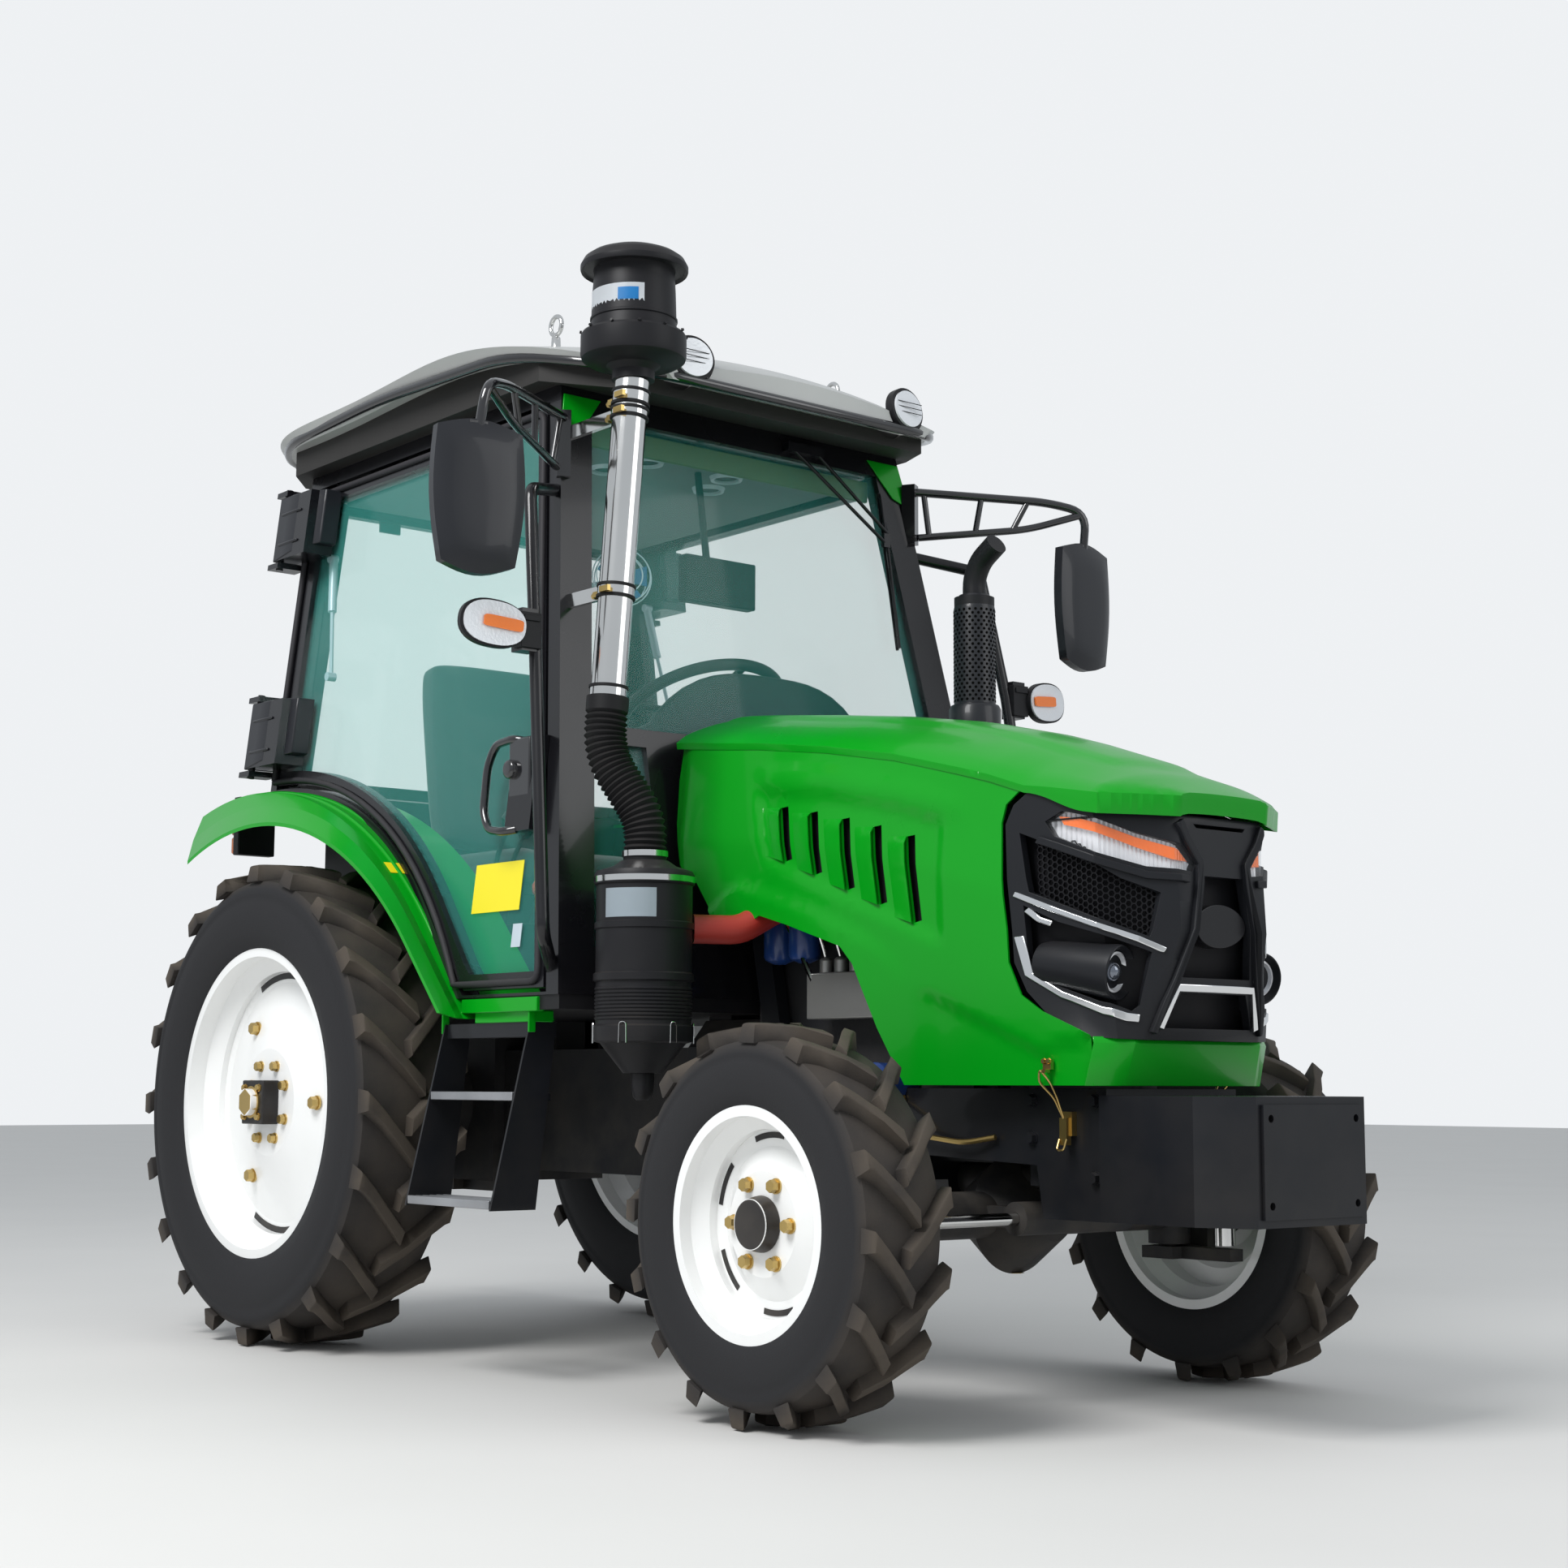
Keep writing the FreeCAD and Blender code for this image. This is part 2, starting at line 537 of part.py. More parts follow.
# Three-point hitch: lower links, lift arms and lift rods that make a parallelogram on each side
link_half = at.link_half
link_bar = box("link_bar", (-at.hitch_reach + 20, link_x), (-link_half - 10, -link_half + 10),
               (link_z - 30, link_z + 30))
link_eye = rod("link_eye", "y", (link_x, -link_half - 14, link_z), 28, 34)
link_ball = rod("link_ball", "y", (-at.hitch_reach + 30, -link_half - 20, link_z), 40, 30)
link_hole = rod("link_hole", "y", (link_x, -link_half - 20, link_z), 40, 14.5)
ball_hole = rod("ball_hole", "y", (-at.hitch_reach + 30, -link_half - 25, link_z), 50, 11.25)
link_right = cut("link_drilled", fuse("link_joined", link_bar, link_eye, link_ball), link_hole, ball_hole)
node("lower_links", group("both_links", link_right, mirror("link_left", link_right)))
rod_half = link_half - 45
arm_bar = box("arm_bar", (shaft_x - at.lift_arm, shaft_x), (-rod_half + 18, -rod_half + 36),
              (at.rockshaft_z - 24, at.rockshaft_z + 24))
arm_hub = rod("arm_hub", "y", (shaft_x, -rod_half + 14, at.rockshaft_z), 30, 45)
arm_tip = rod("arm_tip", "y", (shaft_x - at.lift_arm, -rod_half + 14, at.rockshaft_z), 26, 28)
rockshaft = rod("rockshaft", "y", (shaft_x, -rod_half + 20, at.rockshaft_z), 2 * rod_half - 40, 26.5)
arm_right = fuse("arm_right", arm_bar, arm_hub, arm_tip)
node("lift_arms", fuse("arms_joined", arm_right, mirror("arm_left", arm_right), rockshaft))
rod_foot = Vector(link_x - at.lift_arm, -rod_half, link_z)
rod_head = Vector(shaft_x - at.lift_arm, -rod_half, at.rockshaft_z)
lift_line = rod_head - rod_foot
lift_bar = shaped("lift_bar", Part.makeCylinder(12, lift_line.Length, rod_foot, lift_line))
lift_top = rod("lift_top", "y", (rod_head.x, -rod_half - 13, rod_head.z), 26.5, 26)
lift_foot = rod("lift_foot", "y", (rod_foot.x, -link_half + 10.3, rod_foot.z), 48, 24)
lift_right = fuse("lift_right", lift_bar, lift_top, lift_foot)
node("lift_rods", group("both_lift_rods", lift_right, mirror("lift_left", lift_right)))


# Cab: a hollow block whose front leans back and whose sides lean in, cut open where its panes are
def lean(low, high, z):
    """A value that runs evenly from the cab's floor to its top."""
    return float(low + (high - low) * (z - at.cab_floor) / (at.cab_top - at.cab_floor))


def pillar_x(z):
    """Where the windscreen pillars stand at a height."""
    return lean(at.cab_front_low, at.cab_front_high, z)


def side_y(z):
    """How far out the cab's sides are at a height."""
    return lean(at.cab_half_low, at.cab_half_high, z)


def tapered(low, high):
    """A block with flat faces between two four-cornered sections."""
    faces = [Part.Face(wire(low)), Part.Face(wire(high))]
    for first in range(4):
        last = (first + 1) % 4
        faces.append(Part.Face(wire((low[first], low[last], high[last], high[first]))))
    shell = Part.Shell(faces)
    shell.sewShape()
    solid = Part.Solid(shell)
    if solid.Volume < 0:
        solid.reverse()
    return solid


def cab_block(depth, low, high):
    """The cab's outer block, shrunk by a depth on its four walls."""
    sections = []
    for z in (low, high):
        front, half, rear = pillar_x(z) - depth, side_y(z) - depth, at.cab_rear + depth
        sections.append([(rear, -half, z), (front, -half, z), (front, half, z), (rear, half, z)])
    return tapered(*sections)


def side_slab(outer, inner):
    """A slab along the cab's right side, from outside its skin to a depth inside it."""
    sections = []
    for z in (at.cab_floor - 60, at.cab_top + 60):
        near, far = -side_y(z) - outer, -side_y(z) + inner
        sections.append([(-600, near, z), (1600, near, z), (1600, far, z), (-600, far, z)])
    return tapered(*sections)


def front_slab(depth, thickness):
    """A slab along the cab's front at a depth behind its skin."""
    sections = []
    for z in (at.cab_floor - 60, at.cab_top + 60):
        near, far = pillar_x(z) - depth, pillar_x(z) - depth - thickness
        sections.append([(near, -900, z), (near, 900, z), (far, 900, z), (far, -900, z)])
    return tapered(*sections)


def prism(points, way):
    """An outline pushed along one direction."""
    return Part.Face(wire(points)).extrude(Vector(*way))


def mirrored(shape):
    """The same shape on the tractor's other side."""
    return shape.mirror(Vector(), Vector(0, 1, 0))


def over_wheel(centre_x, centre_z, radius, rear_x, y):
    """The arc over the rear wheel, from its rear end to where it runs down straight at 47 degrees."""
    turn = math.radians(47)
    start = math.asin((rear_x - centre_x) / radius)
    centre = Vector(centre_x, y, centre_z)
    back, middle, ahead = [centre + Vector(math.sin(angle), 0, math.cos(angle)) * radius
                           for angle in (start, (start + turn) / 2, turn)]
    return back, middle, ahead, turn


def closed_face(arc, corners):
    """A face between an arc and the straight lines that lead from its end back to its start."""
    back, middle, ahead = arc
    stops = [ahead] + list(corners) + [back]
    edges = [Part.Arc(back, middle, ahead).toShape()]
    edges += [Part.makeLine(first, last) for first, last in zip(stops, stops[1:])]
    return Part.Face(Part.Wire(edges))


def door_prism(shrink):
    """The door seen from the side, shrunk all round, through the cab's right half."""
    low, high = at.cab_floor + 16 + shrink, at.cab_top - 46 - shrink
    rear = at.cab_rear + 40 + shrink
    back, middle, ahead, turn = over_wheel(at.arch_x, at.arch_z, at.arch_radius + shrink, rear, -900)
    foot = Vector(ahead.x + (ahead.z - low - 26) / math.tan(turn), -900, low + 26)
    front = 54 + shrink
    corners = (foot, Vector(foot.x + 30, -900, low), Vector(pillar_x(low) - front, -900, low),
               Vector(pillar_x(high) - front, -900, high), Vector(rear, -900, high))
    return closed_face((back, middle, ahead), corners).extrude(Vector(0, 700, 0))


def arch_block(depth):
    """Everything under the left fender's skin, from the wheel arch's inner wall outwards."""
    low = at.cab_floor - 44
    back, middle, ahead, turn = over_wheel(at.arch_x, at.arch_z, at.arch_radius - at.fender_gap - depth,
                                           -560, at.arch_half)
    corners = (Vector(ahead.x + (ahead.z - low) / math.tan(turn), at.arch_half, low),
               Vector(-560, at.arch_half, low))
    return closed_face((back, middle, ahead), corners).extrude(Vector(0, 500, 0))


def window_points(low, high, inset):
    """The rear window's four corners, inset from its opening."""
    return [(-400, -side_y(low) + 60 + inset, low + inset), (-400, -side_y(high) + 60 + inset, high - inset),
            (-400, side_y(high) - 60 - inset, high - inset), (-400, side_y(low) - 60 - inset, low + inset)]


pane_low, pane_high = 1385, 2108
DOOR_COVERS = (1400, 1940)
windscreen_points = [(700, 83 - side_y(pane_low), pane_low), (700, 83 - side_y(pane_high), pane_high),
                     (700, side_y(pane_high) - 83, pane_high), (700, side_y(pane_low) - 83, pane_low)]
windscreen_hole = prism(windscreen_points, (800, 0, 0))
quarter_points = [(700, 370, 900), (700, 370, 1345), (700, side_y(1345) - 90, 1345),
                  (700, side_y(900) - 90, 900)]
quarter_hole = prism(quarter_points, (800, 0, 0))
window_low, window_high = 1345, at.cab_top - 52
rear_hole = prism(window_points(window_low, window_high, 0), (400, 0, 0))
door_hole = door_prism(-at.door_gap)
arch_space = arch_block(0)
cab_outside = cab_block(0, at.cab_floor - 60, at.cab_top + 60)
roof_hatch = Part.makeBox(760, 700, 200, Vector(40, -350, at.cab_top - 100))
cab_inside = cab_block(at.cab_wall, at.cab_floor - 1, at.cab_top - at.cab_wall)
frame_shape = cab_block(0, at.cab_floor, at.cab_top).cut(cab_inside)
for hole in (windscreen_hole, quarter_hole, mirrored(quarter_hole), rear_hole, door_hole, mirrored(door_hole),
             arch_space, mirrored(arch_space), roof_hatch):
    frame_shape = frame_shape.cut(hole)


def hinge_pin_at(radius, low, high):
    """A stretch of the right door's hinge line, which stands off the cab's side and leans with it."""
    foot = Vector(at.cab_rear, -side_y(low) - at.door_hinge_out, low)
    head = Vector(at.cab_rear, -side_y(high) - at.door_hinge_out, high)
    return Part.makeCylinder(radius, (head - foot).Length, foot, head - foot)


hinge_ears = []
for cover_low in DOOR_COVERS:
    for ear_low in (cover_low - 20, cover_low + 171):
        ear_box = Part.makeBox(53, 800, 14, Vector(at.cab_rear - 35, -900, ear_low))
        ear = side_slab(76, 1).common(ear_box).cut(hinge_pin_at(9.4, ear_low - 20, ear_low + 40))
        hinge_ears.append(ear)
for ear in hinge_ears:
    frame_shape = frame_shape.fuse(ear).fuse(mirrored(ear))
node("cab_frame", shaped("cab_frame_shape", frame_shape))
front_panes = [front_slab(14, at.glass).common(hole)
               for hole in (windscreen_hole, quarter_hole, mirrored(quarter_hole))]
node("windscreen", shaped("windscreen_panes", Part.makeCompound(front_panes)))

# Floor with the wheel arches' inner walls, on rubber blocks that stand on the gearbox
under_floor = at.cab_floor - 30
arch_wall = Part.makeBox(2000, 8, 2000, Vector(at.cab_rear, at.arch_half, under_floor))
arch_wall = arch_block(at.fender_wall).common(arch_wall)
floor_front = at.cab_front_low - 2
floor_half = at.cab_half_low - 4
floor_plan = ((at.cab_rear, -at.arch_half), (846, -at.arch_half), (846, -floor_half),
              (floor_front, -floor_half),
              (floor_front, floor_half), (846, floor_half), (846, at.arch_half), (at.cab_rear, at.arch_half))
floor = plate("floor_plate", "XY", floor_plan, (under_floor, at.cab_floor))
arch_walls = shaped("arch_walls", Part.makeCompound([arch_wall, mirrored(arch_wall)]))
floor_blocks = []
for name, x, top in (("rear", 300, 700), ("front", 990, 760)):
    block_left = box("floor_block_" + name, (x, x + 80), (20, 105), (top, under_floor))
    floor_blocks += [block_left, mirror("floor_block_%s_right" % name, block_left)]
seat_platform = box("seat_platform", (-120, 260), (-260, 260), (at.cab_floor, 960))
seat_stand = box("seat_stand", (-60, 220), (-180, 180), (960, 1090))
node("cab_floor", fuse("cab_floor_joined", floor, arch_walls, seat_platform, seat_stand, *floor_blocks))

# Doors: a frame round one pane, with a lock at the front edge and two long hinge covers at the rear
door_rim = 34
door_band = door_prism(0).cut(door_prism(door_rim))
ring = side_slab(0, 40).common(door_band)
rim_layer = side_slab(2, 5).common(door_band)
lock_box = Part.makeBox(95, 800, 205, Vector(970, -900, 1150))
ring = ring.fuse(side_slab(28, -1).common(lock_box)).fuse(rim_layer.common(lock_box))
for cover_low in DOOR_COVERS:
    cover_box = Part.makeBox(157, 800, 165, Vector(at.cab_rear - 12, -900, cover_low))
    leaf_box = Part.makeBox(105, 800, 165, Vector(at.cab_rear + 40, -900, cover_low))
    leaf = side_slab(20, 5).common(leaf_box).common(door_prism(0))
    ring = ring.fuse(side_slab(74, -7).common(cover_box)).fuse(leaf)
    ring = ring.fuse(hinge_pin_at(9, cover_low - 24, cover_low + 189))
pair("door_frame", shaped("door_ring", ring.removeSplitter()))
pair("door_glass", shaped("door_pane", side_slab(-14, 14 + at.glass).common(door_prism(door_rim))))

# Rear window in its own frame, hung from two hinges above it
window_gap = 6
window_inner = prism(window_points(window_low, window_high, window_gap + 30), (400, 0, 0))
window_frame = prism(window_points(window_low, window_high, window_gap), (400, 0, 0)).cut(window_inner)
window_frame = window_frame.common(Part.makeBox(30, 1600, 2000, Vector(at.cab_rear, -800, 500)))
window_hinge_x, window_hinge_z = at.cab_rear - 14, window_high + 4
for y in (-300, 240):
    barrel = Part.makeCylinder(9, 60, Vector(window_hinge_x, y, window_hinge_z), Vector(0, 1, 0))
    strap = Part.makeBox(8, 60, 60, Vector(at.cab_rear - 8, y, window_hinge_z - 60))
    window_frame = window_frame.fuse(barrel).fuse(strap)
node("rear_window_frame", shaped("window_frame_shape", window_frame.removeSplitter()))
window_pane = window_inner.common(Part.makeBox(at.glass, 1600, 2000, Vector(at.cab_rear + 12, -800, 500)))
node("rear_window_glass", shaped("window_pane", window_pane))

# Roof: a crowned top with a drooping front edge over a darker underside
ROOF = (
    # along, half width, low edge, side edge, crown
    (-335, 500, 2230, 2252, 2276),
    (-180, 594, 2232, 2262, 2310),
    (300, 606, 2244, 2276, 2338),
    (860, 600, 2226, 2256, 2318),
    (1070, 512, 2180, 2208, 2268),
    (1190, 398, 2150, 2172, 2212),
)


def roof_section(x, half, low, side, crown):
    """A flat underside with chamfered edges below an arc."""
    left, right = Vector(x, half, side), Vector(x, -half, side)
    left_foot, right_foot = Vector(x, half - 26, low), Vector(x, 26 - half, low)
    arc = Part.Arc(left, Vector(x, 0, crown), right).toShape()
    return Part.Wire([Part.makeLine(right_foot, left_foot), Part.makeLine(left_foot, left), arc,
                      Part.makeLine(right, right_foot)])


work_lamp = Part.makeCylinder(56, 84, Vector(1118, -317, 2206), Vector(1, 0, 0))
lamp_pocket = Part.makeCylinder(56.3, 300, Vector(1117.7, -317, 2206), Vector(1, 0, 0))
roof_shape = Part.makeLoft([roof_section(*row) for row in ROOF], True, False)
roof_shape = roof_shape.cut(lamp_pocket).cut(mirrored(lamp_pocket))
node("roof", shaped("roof_shell", roof_shape))
LINER = ((-290, at.cab_top, 470), (-190, at.cab_top, 552), (930, at.cab_top, 552), (1130, 2130, 420))
liner_sections = [wire(((x, -half, low), (x, half, low), (x, half, 2262), (x, -half, 2262)))
                  for x, low, half in LINER]
roof_solid = Part.makeLoft([roof_section(*row) for row in ROOF], True, False)
liner = Part.makeLoft(liner_sections, True, True).cut(roof_solid)
liner = sorted(liner.Solids, key=lambda solid: solid.Volume)[-1]
for hole in (roof_hatch, lamp_pocket, mirrored(lamp_pocket)):
    liner = liner.cut(hole)
cab_head = cab_outside.common(Part.makeBox(3000, 2000, 70, Vector(-900, -900, at.cab_top - 70)))
node("roof_underside", shaped("roof_liner", liner.cut(cab_head)))


# Fenders: a skin that follows the door's arc beside the cab and drops to a lower arc outboard
def fender_section(y, shift, radius, rear_x, low):
    """A band along the arc over the wheel, as deep as the fender's wall."""
    lines = []
    for depth in (0, at.fender_wall):
        back, middle, ahead, turn = over_wheel(at.arch_x + shift, at.arch_z, radius - depth, rear_x, y)
        lines.append((back, middle, ahead, Vector(ahead.x + (ahead.z - low) / math.tan(turn), y, low)))
    (back, middle, ahead, tip), (back_in, middle_in, ahead_in, tip_in) = lines
    return Part.Wire([Part.Arc(back, middle, ahead).toShape(), Part.makeLine(ahead, tip),
                      Part.makeLine(tip, tip_in), Part.makeLine(tip_in, ahead_in),
                      Part.Arc(ahead_in, middle_in, back_in).toShape(), Part.makeLine(back_in, back)])


fender_top = float(at.arch_radius - at.fender_gap)
fender_low = float(at.cab_floor - 44)
FENDER = (
    # out from the middle line, shift of the arc, its radius, its rear end and its low end
    (float(at.arch_half), 0, fender_top, -420, fender_low),
    (float(at.fender_half - 77), 0, fender_top, -420, fender_low),
    (float(at.fender_half - 43), 85, fender_top - 42, -400, fender_low),
    (float(at.fender_half), 165, fender_top - 92, -340, fender_low + 10),
)
fender_left = Part.makeLoft([fender_section(*row) for row in FENDER], True, True)
node("fenders", shaped("fender_skins", Part.makeCompound([fender_left, mirrored(fender_left)])))

# Steps: two treads between side plates that hang from the cab's sill
step_top = under_floor - 25
step_out = at.fender_half
step_side = ((-590, step_top), (-655, step_top), (-step_out, 360), (110 - step_out, 360))
step_plates = [plate("step_side_%d" % number, "YZ", step_side, (x, x + 6))
               for number, x in enumerate((757, 1088))]
tread_low = box("tread_low", (763, 1088), (3 - step_out, 105 - step_out), (363, 378))
tread_high = box("tread_high", (763, 1088), (55 - step_out, 147 - step_out), (583, 598))
step_sill = box("step_sill", (757, 1094), (-650, -590), (step_top - 30, step_top))
step_hanger = box("step_hanger", (880, 1094), (-650, -600), (step_top, under_floor))
step_right = fuse("step_joined", tread_low, tread_high, step_sill, step_hanger, *step_plates)
node("steps", group("both_steps", step_right, mirror("step_left", step_right)))

# Bonnet: a crowned shell that narrows to the front, cut open over the wheel arches
def along(x):
    """A place along the bonnet, which grows with the wheelbase."""
    return float(1110 + (x - 1110) * (at.wheelbase - 631) / 1220)


HOOD = (
    # along, half widths low, in the middle and at the shoulder, then heights of shoulder and crown
    (along(1110), 335, 345, 322, 1352, 1440),
    (along(1500), 305, 318, 296, 1322, 1400),
    (along(1900), 278, 290, 270, 1248, 1330),
    (along(2140), 256, 268, 256, 1168, 1262),
    (along(2330), 234, 250, 246, 1116, 1188),
)
hood_foot = float(at.rail_top + 2)


def hood_section(x, low, middle, top, shoulder, crown, inset, foot):
    """Sides that bulge a little under a crowned top."""
    left, right = Vector(x, top - inset, shoulder - inset), Vector(x, inset - top, shoulder - inset)
    stops = [right, Vector(x, inset - middle, shoulder - 210), Vector(x, inset - low, foot),
             Vector(x, low - inset, foot), Vector(x, middle - inset, shoulder - 210), left]
    edges = [Part.makeLine(first, last) for first, last in zip(stops, stops[1:])]
    edges.append(Part.Arc(left, Vector(x, 0, crown - inset), right).toShape())
    return Part.Wire(edges)


def hood_block(inset, foot, stretch):
    """The bonnet as a closed block, drawn in by an inset and longer at both ends."""
    rows = [list(row) for row in HOOD]
    rows[0][0] -= stretch
    rows[-1][0] += stretch
    return Part.makeLoft([hood_section(*row, inset, foot) for row in rows], True, False)


def side_region(corners):
    """A region of the side view, right across the tractor."""
    return prism([(along(x), -900, z) for x, z in corners], (0, 1800, 0))


hood_inside = hood_block(float(at.hood_wall), 500, 5)
hood_sides = side_region(((1307, 941), (1352, 1058), (1440, 1045), (1585, 955), (1680, 880), (1745, 770),
                          (1815, hood_foot), (2335, hood_foot), (2335, 706), (2280, 711), (2150, 780),
                          (2110, 845), (2095, 1031), (2145, 1166), (2335, 1112), (2335, 1300),
                          (1246, 1600), (1246, 1364), (1140, 1275)))
hood_top = side_region(((1200, 1375), (2340, 1120), (2340, 1700), (1200, 1700)))
hood_shape = hood_block(0, hood_foot, 0).cut(hood_inside).common(hood_sides.fuse(hood_top))
low_plan = ((2290, -234), (2332, -165), (2332, 165), (2290, 234), (2290, 222), (2318, 160), (2318, -160),
            (2290, -222))
low_front = prism([(along(x), y, hood_foot) for x, y in low_plan], (0, 0, 92))
lip_plan = ((2330, -246, 1112), (2330, 246, 1112), (2405, 120, 1108), (2405, -120, 1108))
lip_low = [(along(x), y, z) for x, y, z in lip_plan]
lip_high = [(along(x), y, z + (16 if x < 2400 else 14)) for x, y, z in lip_plan]
hinge_x, hinge_z = at.hood_hinge_x, at.hood_hinge_z
ear_side = ((1155, 1345), (1185, 1345), (1300, 1366), (1300, 1440), (1215, 1440))
ears = []
for y in (-200, 190):
    ear = prism([(x, y, z) for x, z in ear_side], (0, 10, 0))
    ear = ear.fuse(Part.makeCylinder(20, 10, Vector(hinge_x, y, hinge_z), Vector(0, 1, 0)))
    ear_bore = Part.makeCylinder(10.1, 30, Vector(hinge_x, y - 10, hinge_z), Vector(0, 1, 0))
    ears.append(ear.common(hood_inside).cut(ear_bore))
for piece in [low_front, Part.makeLoft([wire(lip_low), wire(lip_high)], True, True)] + ears:
    hood_shape = hood_shape.fuse(piece)
# Louvres: slots that lean forward, through both sides
LOUVRES = (
    # along and height of a slot's top, then the height of its foot
    (1490, 1185, 1072), (1577, 1168, 1040), (1669, 1148, 1004), (1758, 1126, 970), (1850, 1100, 930),
)
for slot_x, slot_top, slot_foot in LOUVRES:
    hood_shape = hood_shape.cut(side_region(((slot_x - 10, slot_top), (slot_x + 12, slot_top + 2),
                                             (slot_x + 32, slot_foot + 4), (slot_x + 12, slot_foot))))
node("hood", shaped("hood_shape", hood_shape))

# Stand that carries the bonnet's hinge pin in front of the cab
stand_side = ((1300, at.rail_top), (1360, at.rail_top), (hinge_x + 24, hinge_z + 18),
              (hinge_x - 24, hinge_z + 18))
stand_left = plate("stand_left", "XZ", stand_side, (at.rail_inner, at.rail_inner + at.rail_wall))
stand_bar = box("stand_bar", (1192, 1222), (-at.rail_inner, at.rail_inner), (1240, 1290))
hinge_pin = rod("hinge_pin", "y", (hinge_x, -205, hinge_z), 410, 10)
node("hood_stand", fuse("hood_stand_joined", stand_left, mirror("stand_right", stand_left), stand_bar,
                        hinge_pin))

# Black mask at the bonnet's front
MASK = (
    # height, then along and half width of the side seam, the corner and the middle face
    (712, 2250, 226, 2330, 205, 2352, 150),
    (900, 2110, 262, 2300, 232, 2400, 120),
    (1104, 2120, 262, 2300, 240, 2392, 116),
)


def mask_block(inset, stretch):
    """The mask as a closed block, drawn in by an inset and taller at both ends."""
    sections = []
    for row, (z, seam_x, seam_y, corner_x, corner_y, nose_x, nose_y) in enumerate(MASK):
        rise = (row - 1) * stretch
        near = [(seam_x, seam_y - inset), (corner_x - inset, corner_y - inset),
                (nose_x - inset, nose_y - inset / 2)]
        far = [(x, -y) for x, y in reversed(near)]
        sections.append(wire([(along(x), y, z + rise) for x, y in near + far]))
    return Part.makeLoft(sections, True, True)


def mask_spot(fold, z, depth):
    """A place behind the mask's face. Fold 0 is its middle, 1 and 2 are its edges and 3 is its side seam."""
    low, high = MASK[:2] if z < MASK[1][0] else MASK[1:]
    share = (z - low[0]) / (high[0] - low[0])
    row = [a + (b - a) * share for a, b in zip(low[1:], high[1:])]
    seam_x, seam_y, corner_x, corner_y, nose_x, nose_y = row
    stops = ((nose_x, 0, -1, 0), (nose_x, nose_y, -0.92, -0.4), (corner_x, corner_y, -0.5, -0.87),
             (seam_x, seam_y, -0.1, -1))
    step = min(int(abs(fold)), 2)
    x, y, back, inward = [a + (b - a) * (abs(fold) - step) for a, b in zip(stops[step], stops[step + 1])]
    return Vector(along(x + back * depth), math.copysign(y + inward * depth, fold), z)


def mask_band(stations, front, back):
    """A block across the mask's face between two depths. Its stations are (fold, low, high)."""
    sections = []
    for fold, low, high in stations:
        sections.append(wire([mask_spot(fold, low, front), mask_spot(fold, high, front),
                              mask_spot(fold, high, back), mask_spot(fold, low, back)]))
    return Part.makeLoft(sections, True, True)


HEADLAMP = ((0.64, 1008, 1022), (1.0, 1010, 1056), (1.5, 1017, 1074), (2.0, 1040, 1100), (2.4, 1070, 1100),
            (2.54, 1090, 1098))
MESH_BAY = ((1.3, 890, 970), (1.7, 905, 992), (2.0, 920, 1018), (2.24, 936, 1040), (2.78, 974, 1078))
FOG_BAY = ((1.36, 764, 860), (1.6, 754, 874), (2.0, 766, 892), (2.45, 790, 916), (2.8, 840, 944))
COLUMN_BAY = ((-0.7, 818, 880), (-0.5, 816, 998), (0.5, 816, 998), (0.7, 818, 880))
MOUTH = ((-0.74, 724, 782), (0.74, 724, 782))
mask = mask_block(0, 0).cut(mask_block(14, 5)).cut(hood_shape)
for bay, front, back in ((HEADLAMP, -8, 26), (MESH_BAY, -8, 7), (FOG_BAY, -8, 7)):
    hole = mask_band(bay, front, back)
    mask = mask.cut(hole).cut(mirrored(hole))
for bay in (COLUMN_BAY, MOUTH):
    mask = mask.cut(mask_band(bay, -8, 7))
node("hood_mask", shaped("mask_shape", sorted(mask.Solids, key=lambda solid: solid.Volume)[-1]))
headlamp = mask_band(HEADLAMP, 2, 12)
fog_lamp = Part.makeCylinder(31, 150, Vector(along(2175), 213, 814), Vector(1, 0, 0))
fog_lamp = fog_lamp.common(mask_band(FOG_BAY, -60, 7))
front_lamps = Part.makeCompound([headlamp, mirrored(headlamp), fog_lamp, mirrored(fog_lamp)])
node("front_lamps", shaped("front_lamps_shape", front_lamps))

# Air intake: precleaner on a polished pipe, bellows hose, air cleaner and the elbow to the engine
can_x, can_y = at.canister_x, at.canister_y
can_radius = at.canister_radius
canister = rod("canister", "z", (can_x, can_y, 700), 350, can_radius)
can_neck = taper("canister_neck", "z", (can_x, can_y, 1050), 22, can_radius - 20, 48)
can_cone = taper("canister_cone", "z", (can_x, can_y, 640), 60, 40, can_radius - 14)
can_valve = rod("dust_valve", "z", (can_x, can_y, 585), 55, 24)
can_bracket = box("canister_bracket", (at.cab_front_low, can_x), (can_y + 10, can_y + 90), (800, 808))
can_foot = box("canister_foot", (at.cab_front_low, at.cab_front_low + 8), (can_y + 10, can_y + 90),
               (770, 808))
node("air_cleaner", fuse("air_cleaner_joined", canister, can_neck, can_cone, can_valve, can_bracket,
                         can_foot))
pipe_foot, pipe_head = Vector(1250, -580, 1405), Vector(1250, -527, 2100)
pipe_way = (pipe_head - pipe_foot).normalize()
hose_path = ((can_x, can_y, 1072), (can_x, can_y, 1160), pipe_foot - pipe_way * 110, pipe_foot)
node("intake_hose", shaped("hose_tube", tube_path(hose_path, 45)))
pipe_tube = Part.makeCylinder(float(at.pipe_radius), (pipe_head - pipe_foot).Length, pipe_foot, pipe_way)
